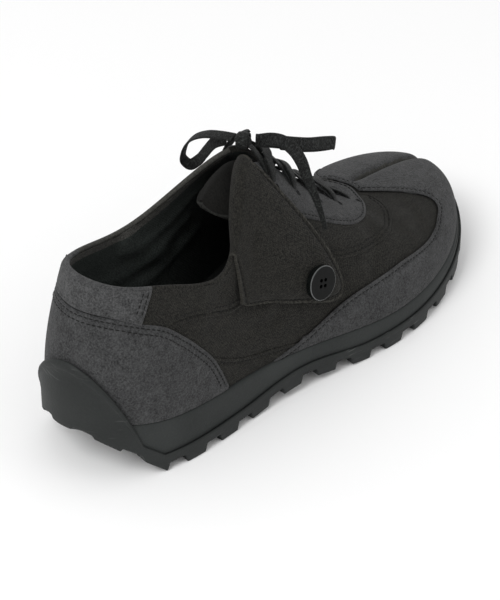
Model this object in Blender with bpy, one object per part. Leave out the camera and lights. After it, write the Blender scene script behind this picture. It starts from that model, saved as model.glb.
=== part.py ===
"""Tabi sneaker for the right foot: a hollow canvas upper with suede overlays on a lugged sole.

The toe points along +X, the big toe's side is +Y and the outer side is -Y. The origin is on the floor,
under the middle of the shoe. Every soft piece follows one surface, made of ribs that rise from the sole's
edge to the rim of the collar and throat.
"""
import math
from collections import namedtuple

import bmesh
import bpy
import numpy as np

for old_object in list(bpy.data.objects):
    bpy.data.objects.remove(old_object, do_unlink=True)

# Driving dimensions, in metres
LENGTH = 0.294
BALL_WIDTH = 0.108
INSTEP_HEIGHT = 0.118
WALL = 0.0022
SUEDE = 0.0013
GAP = 0.0003
CURVED_GAP = 0.0006

# Sole
TOE_SPRING = 0.015
TOE_SPRING_START = 0.66
HEEL_KICK = 0.028
HEEL_KICK_END = 0.106
ARCH_LIFT = 0.0045
ARCH_MIDDLE = 0.42
ARCH_HALF = 0.15
OUTSOLE_DEPTH = 0.0100
OUTSOLE_FLOOR = 0.0078
HEEL_WEDGE = 0.0020
LUG_DEPTH = 0.0045
HEEL_LUG_DEPTH = 0.0016
HEEL_LUG_END = 0.14
LUG_COUNT = 30
LUG_SHARE = 0.62
LUG_DRAFT = 0.0012
LUG_REACH = 0.022
RIM = 0.0014
WRAP_HEIGHT = 0.065
WRAP_MIDDLE = 0.003
WRAP_HALF_WIDTH = 0.0355
WRAP_POWER = 1.7
WRAP_GAP = 0.0009
FEATHER_INSET = 0.0030

# Height of the midsole's upper edge, along the shoe
Feather = namedtuple("Feather", "along height")
FEATHERS = [
    Feather(0.00, 0.0340),
    Feather(0.10, 0.0292),
    Feather(0.20, 0.0270),
    Feather(0.40, 0.0235),
    Feather(0.63, 0.0180),
    Feather(0.84, 0.0200),
    Feather(1.00, 0.0275),
]

# Ribs of the upper, from the heel's back along the outer side to the toe and home along the inner side.
# along is a share of LENGTH, side of BALL_WIDTH and heights of INSTEP_HEIGHT. belly and rise place the
# lower handle of a rib, crown and drop its upper handle.
Rib = namedtuple("Rib", "name along side belly rise top_along top_side top_height crown drop")
RIBS = [
    Rib("heel back", 0.000, 0.000, 0.028, 0.19, 0.055, 0.000, 0.875, 0.046, 0.17),
    Rib("outer heel corner", 0.050, -0.250, 0.020, 0.19, 0.080, -0.170, 0.860, 0.050, 0.17),
    Rib("outer heel", 0.160, -0.362, 0.010, 0.19, 0.158, -0.262, 0.808, 0.050, 0.14),
    Rib("outer arch", 0.303, -0.375, 0.000, 0.16, 0.283, -0.285, 0.750, 0.040, 0.13),
    Rib("outer waist", 0.466, -0.426, 0.010, 0.25, 0.408, -0.070, 0.985, 0.220, 0.22),
    Rib("outer ball", 0.626, -0.500, 0.010, 0.20, 0.541, -0.060, 0.750, 0.260, 0.11),
    Rib("little toe", 0.789, -0.444, 0.015, 0.17, 0.633, -0.050, 0.575, 0.280, 0.07),
    Rib("outer toes", 0.922, -0.250, 0.015, 0.13, 0.670, -0.020, 0.515, 0.370, 0.06),
    Rib("toe cleft", 0.993, 0.110, 0.015, 0.125, 0.681, 0.028, 0.500, 0.410, 0.06),
    Rib("big toe", 0.959, 0.324, 0.015, 0.10, 0.670, 0.065, 0.515, 0.360, 0.10),
    Rib("big toe side", 0.857, 0.444, 0.010, 0.10, 0.633, 0.093, 0.575, 0.220, 0.16),
    Rib("inner ball", 0.687, 0.500, 0.010, 0.15, 0.541, 0.100, 0.750, 0.165, 0.20),
    Rib("inner waist", 0.466, 0.370, 0.000, 0.25, 0.418, 0.095, 0.985, 0.180, 0.20),
    Rib("inner arch", 0.303, 0.316, 0.000, 0.20, 0.287, 0.270, 0.755, 0.030, 0.15),
    Rib("inner heel", 0.160, 0.350, 0.010, 0.19, 0.158, 0.245, 0.795, 0.050, 0.14),
    Rib("inner heel corner", 0.050, 0.250, 0.020, 0.19, 0.080, 0.160, 0.855, 0.050, 0.17),
]
STATIONS = len(RIBS)
CLEFT_STATION = 8

# The groove between big toe and second toe
CLEFT_DEPTH = 0.0050
CLEFT_HALF_WIDTH = 0.0028
CLEFT_START = 0.725
CLEFT_FULL = 0.775
CLEFT_FOOT_SHARE = 0.4


def closed_spline(knots, rows):
    """A smooth closed curve through rows at knots, whose last knot is the first row again."""
    steps = np.diff(knots)
    count = len(rows)
    slopes = (np.roll(rows, -1, axis=0) - rows) / steps[:, None]
    system = np.zeros((count, count))
    for i in range(count):
        before = steps[i - 1]
        after = steps[i]
        system[i, i - 1] += before
        system[i, i] += 2 * (before + after)
        system[i, (i + 1) % count] += after
    bends = np.linalg.solve(system, 6 * (slopes - np.roll(slopes, 1, axis=0)))

    def value(s):
        s = np.mod(np.asarray(s, float), knots[-1])
        i = np.clip(np.searchsorted(knots, s, side="right") - 1, 0, count - 1)
        j = (i + 1) % count
        h = steps[i][..., None]
        a = (knots[i + 1] - s)[..., None] / h
        b = 1 - a
        bend = ((a ** 3 - a) * bends[i] + (b ** 3 - b) * bends[j]) * h ** 2 / 6
        return a * rows[i] + b * rows[j] + bend

    return value


def smooth_line(places, values):
    """A smooth open curve of one value over rising places."""
    places = np.asarray(places, float)
    values = np.asarray(values, float)
    slopes = np.gradient(values, places)

    def value(x):
        x = np.clip(np.asarray(x, float), places[0], places[-1])
        i = np.clip(np.searchsorted(places, x, side="right") - 1, 0, len(places) - 2)
        h = places[i + 1] - places[i]
        u = (x - places[i]) / h
        rise = (1 + 2 * u) * (1 - u) ** 2 * values[i] + u ** 2 * (3 - 2 * u) * values[i + 1]
        return rise + h * (u * (1 - u) ** 2 * slopes[i] - u ** 2 * (1 - u) * slopes[i + 1])

    return value


def smooth_step(x):
    x = np.clip(x, 0, 1)
    return x * x * (3 - 2 * x)


def rib_rows():
    rows = []
    for rib in RIBS:
        rows.append([
            rib.along * LENGTH, rib.side * BALL_WIDTH,
            rib.belly * BALL_WIDTH, rib.rise * INSTEP_HEIGHT,
            rib.top_along * LENGTH, rib.top_side * BALL_WIDTH, rib.top_height * INSTEP_HEIGHT,
            rib.crown * BALL_WIDTH, rib.drop * INSTEP_HEIGHT])
    return np.array(rows)


ROWS = rib_rows()
EDGE_RUNS = np.roll(ROWS[:, :2], -1, axis=0) - ROWS[:, :2]
KNOTS = np.concatenate([[0], np.cumsum(np.linalg.norm(EDGE_RUNS, axis=1))])
ROUND = KNOTS[-1]
ribs_at = closed_spline(KNOTS, ROWS)
feather_height = smooth_line([f.along * LENGTH for f in FEATHERS], [f.height for f in FEATHERS])


def at_station(station):
    """Distance round the sole's edge at a rib's number, counted from the heel's back."""
    station = np.asarray(station, float)
    turns = np.floor(station / STATIONS)
    return np.interp(station - turns * STATIONS, np.arange(STATIONS + 1), KNOTS) + turns * ROUND


def outward(s):
    step = 1e-4
    run = ribs_at(s + step)[..., :2] - ribs_at(s - step)[..., :2]
    run = run / np.linalg.norm(run, axis=-1, keepdims=True)
    return np.stack([run[..., 1], -run[..., 0], np.zeros_like(run[..., 0])], axis=-1)


def bottom_height(along):
    """Height of the tread above the floor: flat at heel and ball, lifted at toe, arch and heel's back."""
    toe = np.clip((along / LENGTH - TOE_SPRING_START) / (1 - TOE_SPRING_START), 0, 1)
    heel = np.clip(1 - along / LENGTH / HEEL_KICK_END, 0, 1)
    arch = np.clip(1 - np.abs(along / LENGTH - ARCH_MIDDLE) / ARCH_HALF, 0, 1)
    return TOE_SPRING * toe ** 2 + HEEL_KICK * heel + ARCH_LIFT * smooth_step(arch)


def tray_floor(along):
    """Height of the outsole's upper face, which the midsole stands on."""
    return np.minimum(bottom_height(along) + OUTSOLE_FLOOR, feather_height(along) - HEEL_WEDGE)


def edge_point(s, height, reach):
    """A point beside the sole's edge, reach outside it."""
    plan = ribs_at(s)[..., :2]
    point = np.stack([plan[..., 0], plan[..., 1], np.broadcast_to(height, plan[..., 0].shape)], axis=-1)
    return point + outward(s) * np.asarray(reach)[..., None]


def plain_surface(s, t):
    """The upper's outer face before the cleft: t runs from the sole's edge, 0, to the rim, 1."""
    s, t = np.broadcast_arrays(np.asarray(s, float), np.asarray(t, float))
    row = ribs_at(s)
    out = outward(s)
    lift = np.array([0.0, 0.0, 1.0])
    foot = edge_point(s, feather_height(row[..., 0]) + GAP, np.full(s.shape, -FEATHER_INSET))
    rim = row[..., 4:7]
    low = foot + out * row[..., 2:3] + lift * row[..., 3:4]
    high = rim + out * row[..., 7:8] - lift * row[..., 8:9]
    u = t[..., None]
    v = 1 - u
    return v ** 3 * foot + 3 * v ** 2 * u * low + 3 * v * u ** 2 * high + u ** 3 * rim


def normals(surface, s, t):
    ds = 2e-4
    dt = 1e-3
    along = surface(s + ds, t) - surface(s - ds, t)
    up = surface(s, np.minimum(t + dt, 1)) - surface(s, np.maximum(t - dt, 0))
    normal = np.cross(along, up)
    return normal / np.linalg.norm(normal, axis=-1, keepdims=True)


CLEFT_LINE = ROWS[CLEFT_STATION]


def surface(s, t):
    """The upper's outer face with the cleft pressed into it."""
    s, t = np.broadcast_arrays(np.asarray(s, float), np.asarray(t, float))
    points = plain_surface(s, t)
    start = CLEFT_LINE[4:6]
    run = CLEFT_LINE[:2] - start
    run = run / np.linalg.norm(run)
    away = points[..., :2] - start
    beside = away[..., 0] * run[1] - away[..., 1] * run[0]
    groove = 1 / (1 + (np.abs(beside) / CLEFT_HALF_WIDTH) ** 5)
    begun = smooth_step((points[..., 0] / LENGTH - CLEFT_START) / (CLEFT_FULL - CLEFT_START))
    at_foot = CLEFT_FOOT_SHARE + (1 - CLEFT_FOOT_SHARE) * smooth_step(t / 0.25)
    depth = CLEFT_DEPTH * groove * begun * at_foot
    return points - normals(plain_surface, s, t) * depth[..., None]


def offset_surface(s, t, reach):
    """The upper's face moved reach outside itself."""
    return surface(s, t) + normals(surface, s, t) * np.asarray(reach)[..., None]


# Distances round the edge where ribs stand: closer at the cleft
CLEFT_RIBS = [0.0011, 0.0021, 0.0032, 0.0046, 0.0070]
RIB_STEPS = 4
RIM_ROWS = [0.0, 0.07, 0.15, 0.24, 0.34, 0.44, 0.54, 0.64, 0.74, 0.84, 0.93, 1.0]


def rib_places():
    places = [at_station(i / RIB_STEPS) for i in range(STATIONS * RIB_STEPS)]
    middle = at_station(CLEFT_STATION)
    places = [p for p in places if abs(p - middle) > CLEFT_RIBS[-1] + 0.002]
    places += [middle] + [middle + side * d for d in CLEFT_RIBS for side in (-1, 1)]
    return np.array(sorted(float(p) for p in places))


RIB_PLACES = rib_places()


def to_world(points):
    return np.asarray(points) - np.array([LENGTH / 2, 0, 0])


def make_material(name, colour, roughness, metallic=0.0):
    material = bpy.data.materials.new(name)
    material.use_nodes = True
    shader = material.node_tree.nodes["Principled BSDF"]
    shader.inputs["Base Color"].default_value = (*colour, 1)
    shader.inputs["Roughness"].default_value = roughness
    shader.inputs["Metallic"].default_value = metallic
    return material


RUBBER = ((0.030, 0.033, 0.032), 0.62)
FOAM = ((0.034, 0.036, 0.035), 0.70)
CANVAS = ((0.025, 0.024, 0.020), 0.88)
SUEDE_LOOK = ((0.065, 0.066, 0.067), 0.92)
LINING = ((0.012, 0.013, 0.012), 0.90)
LACE = ((0.012, 0.013, 0.013), 0.80)
BUTTON = ((0.028, 0.031, 0.030), 0.38)


def make_object(name, vertices, faces, look):
    mesh = bpy.data.meshes.new(name)
    mesh.from_pydata([tuple(v) for v in to_world(vertices)], [], faces)
    work = bmesh.new()
    work.from_mesh(mesh)
    bmesh.ops.remove_doubles(work, verts=work.verts, dist=1e-6)
    bmesh.ops.recalc_face_normals(work, faces=work.faces)
    work.to_mesh(mesh)
    work.free()
    mesh.validate()
    mesh.shade_smooth()
    mesh.set_sharp_from_angle(angle=math.radians(35))
    mesh.materials.append(make_material(name, *look))
    item = bpy.data.objects.new(name, mesh)
    bpy.context.scene.collection.objects.link(item)
    return item


def ring_faces(rings, count, closed=True):
    """Quads between rings of count points, one ring after another and back to the first when closed."""
    faces = []
    for r in range(rings if closed else rings - 1):
        a = r * count
        b = ((r + 1) % rings) * count
        for i in range(count):
            j = (i + 1) % count
            faces.append((a + i, a + j, b + j, b + i))
    return faces


def strip_faces(first, count):
    """Faces across a ring of count points, each joined to the one level with it on the other side."""
    faces = [(first, first + 1, first + count - 1)]
    for i in range(1, count // 2 - 1):
        faces.append((first + i, first + i + 1, first + count - i - 1, first + count - i))
    half = count // 2
    faces.append((first + half - 1, first + half, first + half + 1))
    return faces


def make_upper():
    s = RIB_PLACES[:, None]
    t = np.array(RIM_ROWS)[None, :]
    outer = surface(s, t)
    inner = offset_surface(s, t, np.full(np.broadcast_shapes(s.shape, t.shape), -WALL))
    rings = [outer[:, k] for k in range(len(RIM_ROWS))]
    rings += [inner[:, k] for k in reversed(range(len(RIM_ROWS)))]
    return make_object("upper", np.concatenate(rings), ring_faces(len(rings), len(RIB_PLACES)), CANVAS)


EDGE_STEPS = 80


def even_places(count):
    return np.arange(count) * ROUND / count


def make_midsole():
    s = even_places(EDGE_STEPS)
    along = ribs_at(s)[:, 0]
    floor = tray_floor(along) + GAP
    top = feather_height(along)
    rings = [
        edge_point(s, floor, np.zeros_like(s)),
        edge_point(s, floor * 0.35 + top * 0.65, np.zeros_like(s)),
        edge_point(s, top - 0.0012, np.full_like(s, -0.0004)),
        edge_point(s, top, np.full_like(s, -0.0016)),
    ]
    count = len(s)
    faces = ring_faces(len(rings), count, closed=False)
    faces += strip_faces(0, count) + strip_faces((len(rings) - 1) * count, count)
    return make_object("midsole", np.concatenate(rings), faces, FOAM)


def lug_places():
    """Distances round the edge with the tread's depth there: 1 on a lug and 0 between two."""
    pitch = ROUND / LUG_COUNT
    lug = LUG_SHARE * pitch
    places = []
    for i in range(LUG_COUNT):
        start = (i - 0.5) * pitch + (pitch - lug) / 2
        places += [
            (start, 0), (start + LUG_DRAFT, 1), (start + lug / 2, 1),
            (start + lug - LUG_DRAFT, 1), (start + lug, 0)]
    shift = places[2][0]
    places = places[2:] + [(p + ROUND, deep) for p, deep in places[:2]]
    return np.array([(p - shift, deep) for p, deep in places])


def wrap_share(s):
    """How far the outsole climbs the heel: 1 at the back, 0 round the corners."""
    from_back = np.abs(np.mod(s - WRAP_MIDDLE + ROUND / 2, ROUND) - ROUND / 2)
    return 1 - np.clip(from_back / WRAP_HALF_WIDTH, 0, 1) ** WRAP_POWER


def wall_point(s, height, reach):
    """A point reach outside the midsole's side, or outside the counter where it is higher."""
    along = ribs_at(s)[:, 0]
    top = feather_height(along)
    beside = edge_point(s, height, reach)
    steps = np.linspace(0, 0.6, 61)
    ribs = plain_surface(s[:, None], steps[None, :])
    share = np.array([np.interp(h, rib[:, 2], steps) for h, rib in zip(height, ribs)])
    clear = reach + SUEDE + CURVED_GAP + WRAP_GAP
    above = plain_surface(s, share) + outward(s) * clear[:, None]
    return np.where((height > top)[:, None], above, beside)


def tread_point(s, reach, deep):
    """A point under the sole, reach outside its edge: on a lug where deep is 1, between two where it is 0."""
    points = edge_point(s, np.zeros_like(s), np.full_like(s, reach))
    along = points[:, 0]
    depth = HEEL_LUG_DEPTH + (LUG_DEPTH - HEEL_LUG_DEPTH) * smooth_step(along / LENGTH / HEEL_LUG_END)
    points[:, 2] = bottom_height(along) + depth * (1 - deep)
    return points


def make_outsole():
    places = lug_places()
    s = places[:, 0]
    deep = places[:, 1]
    along = ribs_at(s)[:, 0]
    base = bottom_height(along)
    floor = tray_floor(along)
    line = np.maximum(base, floor - OUTSOLE_FLOOR) + OUTSOLE_DEPTH
    rim = line + (WRAP_HEIGHT - line) * wrap_share(s)
    middle = np.minimum((floor + rim) / 2, feather_height(along))
    upper = (middle + rim) / 2
    inside = np.full_like(s, GAP)
    outside = np.full_like(s, GAP + RIM)
    rings = [
        edge_point(s, floor, inside),
        wall_point(s, middle, inside),
        wall_point(s, upper, inside),
        wall_point(s, rim, inside),
        wall_point(s, rim, outside),
        wall_point(s, upper, outside),
        wall_point(s, middle, outside),
        tread_point(s, GAP + RIM, deep),
        tread_point(s, -LUG_REACH, deep),
        tread_point(s, -LUG_REACH - LUG_DRAFT, np.zeros_like(s)),
    ]
    count = len(s)
    faces = ring_faces(len(rings), count, closed=False)
    faces += strip_faces(0, count) + strip_faces((len(rings) - 1) * count, count)
    return make_object("outsole", np.concatenate(rings), faces, RUBBER)


INSOLE = 0.0040
INSOLE_INSET = 0.0078
INSOLE_TOE_INSET = 0.0145


def make_insole():
    s = even_places(EDGE_STEPS)
    along = ribs_at(s)[:, 0]
    toe = smooth_step((along / LENGTH - 0.85) / 0.12)
    inset = -(INSOLE_INSET + (INSOLE_TOE_INSET - INSOLE_INSET) * toe)
    base = feather_height(along) + GAP
    rings = [edge_point(s, base, inset), edge_point(s, base + INSOLE, inset)]
    faces = ring_faces(2, len(s), closed=False) + strip_faces(0, len(s)) + strip_faces(len(s), len(s))
    return make_object("insole", np.concatenate(rings), faces, LINING)


# Overlays: how high each reaches up the ribs, by station; negative stations are on the inner side
Edge = namedtuple("Edge", "station share")
COUNTER_TOP = [
    Edge(-2.66, 0.0), Edge(-2.48, 0.28), Edge(-2.21, 0.49), Edge(-1.86, 0.655), Edge(-1.32, 0.75),
    Edge(0.0, 0.775), Edge(1.32, 0.75), Edge(1.86, 0.655), Edge(2.21, 0.49), Edge(2.48, 0.28),
    Edge(2.66, 0.0)]
TOE_CAP_TOP = [
    Edge(3.32, 0.0), Edge(3.71, 0.06), Edge(4.39, 0.21), Edge(5.33, 0.325), Edge(6.14, 0.32),
    Edge(6.52, 0.355), Edge(7.06, 0.49), Edge(7.24, 0.66), Edge(7.44, 0.855), Edge(8.0, 0.90),
    Edge(8.7, 0.875), Edge(9.25, 0.80), Edge(9.55, 0.55), Edge(9.86, 0.37), Edge(10.67, 0.325),
    Edge(11.61, 0.21), Edge(12.29, 0.06), Edge(12.68, 0.0)]
EYESTAY_LOW = [
    Edge(4.12, 0.72), Edge(4.86, 0.695), Edge(5.32, 0.685), Edge(5.65, 0.715), Edge(6.06, 0.78),
    Edge(6.95, 0.89), Edge(8.0, 0.918), Edge(9.05, 0.89), Edge(9.94, 0.78), Edge(10.35, 0.715),
    Edge(10.68, 0.685), Edge(11.14, 0.695), Edge(11.88, 0.72)]
TAB_END_STATION = 1.50
TAB_SEAM = 0.012
CAP_SEAM = 0.016
OVERLAY_TIP = 0.03
ROW_SNAP = 0.025
EYELET_STATIONS = [6.45, 5.62, 5.12, 4.73, 4.38]
EYELET_DROP = 0.13
EYELET_HOLE = 0.0036
EYELET_PIN = 0.0080


def edge_line(edges):
    return smooth_line([e.station for e in edges], [e.share for e in edges])


def stations_between(first, last):
    """Ribs of the upper from one station to another, with both ends."""
    numbers = np.interp(RIB_PLACES, KNOTS, np.arange(STATIONS + 1))
    numbers = np.concatenate([numbers - STATIONS, numbers])
    inside = [n for n in numbers if first + 0.04 < n < last - 0.04]
    return np.array([first] + inside + [last])


def without_repeats(face):
    """A face with corners that fall together taken as one, or nothing when no area is left."""
    corners = [c for i, c in enumerate(face) if c != face[i - 1]]
    return [tuple(corners)] if len(corners) > 2 else []


def grid_solid(name, outer, inner, look):
    """A closed sheet from two grids of points, with its four edges. Neighbours in a row may fall together."""
    rows, columns = outer.shape[:2]
    size = rows * columns
    ids = np.arange(size).reshape(rows, columns)
    for j in range(1, columns):
        same = np.linalg.norm(outer[:, j] - outer[:, j - 1], axis=1) < 1e-7
        ids[:, j] = np.where(same, ids[:, j - 1], ids[:, j])
    faces = []
    for i in range(rows - 1):
        for j in range(columns - 1):
            corners = [int(ids[k]) for k in ((i, j), (i + 1, j), (i + 1, j + 1), (i, j + 1))]
            faces += without_repeats(corners)
            faces += without_repeats([c + size for c in reversed(corners)])
    rim = [(i, 0) for i in range(rows)]
    rim += [(rows - 1, j) for j in range(1, columns)]
    rim += [(i, columns - 1) for i in reversed(range(rows - 1))]
    rim += [(0, j) for j in reversed(range(1, columns - 1))]
    edge = [int(ids[k]) for k in rim]
    for a, b in zip(edge, edge[1:] + edge[:1]):
        if a != b:
            faces.append((a, a + size, b + size, b))
    points = np.concatenate([outer.reshape(size, 3), inner.reshape(size, 3)])
    used = sorted({c for face in faces for c in face})
    numbers = {c: i for i, c in enumerate(used)}
    faces = [tuple(numbers[c] for c in face) for face in faces]
    return make_object(name, points[used], faces, look)


def lathe(profile, steps):
    """A turned solid from (radius, height) pairs, the first and last on the axis."""
    points = []
    faces = []
    turns = np.arange(steps) * 2 * math.pi / steps
    for radius, height in profile[1:-1]:
        points += [(radius * math.cos(a), radius * math.sin(a), height) for a in turns]
    rings = len(profile) - 2
    faces = ring_faces(rings, steps, closed=False)
    for centre, ring in ((profile[0][1], 0), (profile[-1][1], rings - 1)):
        points.append((0, 0, centre))
        tip = len(points) - 1
        faces += [(ring * steps + i, ring * steps + (i + 1) % steps, tip) for i in range(steps)]
    return np.array(points), faces


def make_cutter(name, points, faces):
    cutter = make_object(name, points, faces, BUTTON)
    cutter.hide_render = True
    cutter.display_type = "WIRE"
    return cutter


def cut(item, cutter, operation="DIFFERENCE"):
    modifier = item.modifiers.new(cutter.name, "BOOLEAN")
    modifier.operation = operation
    modifier.object = cutter
    modifier.solver = "EXACT"


def make_overlay(name, stations, low, high):
    """A suede piece between two offsets of the upper's own face, on the upper's own rows."""
    bottom = low(stations)[:, None]
    top = high(stations)[:, None]
    t = np.clip(np.array(RIM_ROWS)[None, :], bottom, top)
    t = np.where(top - t < ROW_SNAP, top, t)
    t = np.where(t - bottom < ROW_SNAP, bottom, t)
    s = np.broadcast_to(at_station(stations)[:, None], t.shape)
    inner = offset_surface(s, t, np.full(t.shape, CURVED_GAP))
    outer = offset_surface(s, t, np.full(t.shape, CURVED_GAP + SUEDE))
    return grid_solid(name, outer, inner, SUEDE_LOOK)


def eyelet_pin(station):
    """A pin through the eyestay at one eyelet."""
    pin = [(0, 0), (EYELET_HOLE / 2, 0), (EYELET_HOLE / 2, EYELET_PIN), (0, EYELET_PIN)]
    points, faces = lathe(pin, 6)
    s, t = np.array(at_station(station)), np.array(1 - EYELET_DROP)
    facing = normals(surface, s, t)
    side = surface(s + EYELET_HOLE, t) - surface(s - EYELET_HOLE, t)
    side = side / np.linalg.norm(side)
    axes = np.stack([side, np.cross(facing, side), facing])
    return points @ axes + surface(s, t) - facing * EYELET_PIN / 2, faces


def level(share):
    return lambda stations: np.full(len(stations), share)


def make_overlays():
    counter = edge_line(COUNTER_TOP)
    first, last = COUNTER_TOP[0].station + OVERLAY_TIP, COUNTER_TOP[-1].station - OVERLAY_TIP
    make_overlay("heel_counter", stations_between(first, last), level(0.0), counter)
    tab_low = lambda stations: counter(stations) + TAB_SEAM
    make_overlay("back_tab", stations_between(-TAB_END_STATION, TAB_END_STATION), tab_low, level(1.0))
    stay = edge_line(EYESTAY_LOW)
    cap = edge_line(TOE_CAP_TOP)
    cap_top = lambda stations: np.minimum(cap(stations), stay(stations) - CAP_SEAM)
    first, last = TOE_CAP_TOP[0].station + OVERLAY_TIP, TOE_CAP_TOP[-1].station - OVERLAY_TIP
    make_overlay("toe_cap", stations_between(first, last), level(0.0), cap_top)
    stations = stations_between(EYESTAY_LOW[0].station, EYESTAY_LOW[-1].station)
    eyestay = make_overlay("eyestay", stations, stay, level(1.0))
    for i, station in enumerate(EYELET_STATIONS):
        for side, number in (("outer", station), ("inner", STATIONS - station)):
            points, faces = eyelet_pin(number)
            cut(eyestay, make_cutter(f"eyelet_{side}_{i + 1}", points, faces))


# Throat: stations on the outer side; the inner side mirrors them
TONGUE_FRONT = 6.6
TONGUE_BACK = 4.10
TONGUE_ROWS = 7
TONGUE_DEPTH = 0.0042
TONGUE = 0.0026
TONGUE_SIDE_SHARE = 0.78
TONGUE_OVERHANG = 0.025
TONGUE_RISE = 0.0030
TONGUE_DROOP = 0.0090
TONGUE_END_ROWS = [0.3, 0.58, 0.82, 1.0]


def throat_arch(station, across, lift):
    """A point over the throat: across runs from the outer rim, -1, to the inner one, 1, and on down them."""
    station, across = np.broadcast_arrays(np.asarray(station, float), np.asarray(across, float))
    ends = []
    slopes = []
    for number in (station, STATIONS - station):
        s = at_station(number)
        ends.append(offset_surface(s, np.ones_like(s), np.full(s.shape, lift)))
        slopes.append(surface(s, np.ones_like(s)) - surface(s, np.full(s.shape, 0.97)))
    span = np.linalg.norm(ends[1] - ends[0], axis=-1, keepdims=True)
    slopes = [v / np.linalg.norm(v, axis=-1, keepdims=True) * span * 0.36 for v in slopes]
    u = np.clip((across + 1) / 2, 0, 1)[..., None]
    v = 1 - u
    bridge = v ** 3 * ends[0] + 3 * v ** 2 * u * (ends[0] + slopes[0])
    bridge = bridge + 3 * v * u ** 2 * (ends[1] + slopes[1]) + u ** 3 * ends[1]
    past = np.maximum(np.abs(across) - 1, 0)
    number = np.where(across < 0, station, STATIONS - station)
    wall = offset_surface(at_station(number), 1 - past, np.full(station.shape, lift))
    return np.where((past > 0)[..., None], wall, bridge)


def tongue_end(row):
    """Rows of the tongue's free end behind its last row over the throat: it droops and rounds off."""
    crest = row[len(row) // 2]
    rows = []
    for share in TONGUE_END_ROWS:
        height = TONGUE_RISE * 4 * share * (1 - share) - TONGUE_DROOP * share ** 2
        middle = crest + np.array([-TONGUE_OVERHANG * share, 0, height])
        rows.append(middle + (row - crest) * math.sqrt(1 - (0.96 * share) ** 2))
    return np.array(rows)


def make_tongue():
    side = 1 + (1 - TONGUE_SIDE_SHARE)
    across = np.array([-side, -1.14, -1.06, -0.98, -0.5, 0.0, 0.5, 0.98, 1.06, 1.14, side])
    stations = np.linspace(TONGUE_FRONT, TONGUE_BACK, TONGUE_ROWS)
    sheets = []
    for lift in (-WALL - TONGUE_DEPTH, -WALL - TONGUE_DEPTH - TONGUE):
        rows = throat_arch(stations[:, None], across[None, :], lift)
        sheets.append(np.concatenate([rows, tongue_end(rows[-1])]))
    return grid_solid("tongue", sheets[0], sheets[1], LINING)


# The flap: a row for each of its own ribs, from the fold on the collar's rim to the hem
Flap = namedtuple("Flap", "fold hem hem_share swing")
FLAP_RIBS = [
    Flap(3.10, 2.96, 0.61, 0.00),
    Flap(3.35, 3.40, 0.465, 0.02),
    Flap(3.60, 3.76, 0.330, 0.05),
    Flap(3.82, 4.13, 0.235, 0.11),
    Flap(4.03, 4.42, 0.310, 0.27),
]
FLAP = 0.0018
FLAP_LIFT = 0.0040
FLAP_HEM_LIFT = 0.0060
FLAP_LIP = 0.035
FLAP_COLUMNS = 13


def flap_point(u, w, reach):
    """The flap's inner face moved reach outwards: u along the fold, w from fold, 0, to hem, 1."""
    u, w = np.broadcast_arrays(np.asarray(u, float), np.asarray(w, float))
    places = np.linspace(0, 1, len(FLAP_RIBS))
    fold, hem, share, swing = [
        smooth_line(places, [getattr(rib, name) for rib in FLAP_RIBS])(u) for name in Flap._fields]
    station = fold + (hem - fold) * w + swing * 4 * w * (1 - w) * (1 - 0.4 * w)
    t = 1 + (share - 1) * w
    lift = FLAP_LIFT + (FLAP_HEM_LIFT - FLAP_LIFT) * w
    return offset_surface(at_station(station), t, lift + reach)


def make_flap():
    u = np.linspace(0, 1, FLAP_COLUMNS)
    places = np.linspace(0, 1, len(FLAP_RIBS))
    s = at_station(smooth_line(places, [rib.fold for rib in FLAP_RIBS])(u))
    ones = np.ones_like(s)
    rim = surface(s, ones)
    out = normals(surface, s, ones)
    up = rim - surface(s, 0.97 * ones)
    up = up / np.linalg.norm(up, axis=1, keepdims=True)
    low_lip = (1 - FLAP_LIP) * ones
    inner = [offset_surface(s, low_lip, np.full_like(s, -WALL - CURVED_GAP))]
    outer = [offset_surface(s, low_lip, np.full_like(s, -WALL - CURVED_GAP - FLAP))]
    for turn in np.linspace(0, math.pi, 5):
        middle = rim + out * ((FLAP_LIFT - WALL - CURVED_GAP) / 2)
        radius = (FLAP_LIFT + WALL + CURVED_GAP) / 2
        across = out * -math.cos(turn)
        inner.append(middle + across * radius + up * (math.sin(turn) * 0.0022 + 0.0006))
        outer.append(middle + across * (radius + FLAP) + up * (math.sin(turn) * (0.0022 + FLAP) + 0.0006))
    for w in np.linspace(0.14, 1, 7):
        inner.append(flap_point(u, np.full_like(u, w), 0.0))
        outer.append(flap_point(u, np.full_like(u, w), FLAP))
    return grid_solid("collar_flap", np.stack(outer, axis=1), np.stack(inner, axis=1), CANVAS)


# Button on the flap's front corner
BUTTON_DIAMETER = 0.0178
BUTTON_THICKNESS = 0.0032
BUTTON_RIM = 0.0022
BUTTON_HOLE = 0.0020
BUTTON_HOLE_CIRCLE = 0.0042
BUTTON_SHANK = 0.0009
BUTTON_U = 0.715
BUTTON_W = 0.80


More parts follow.
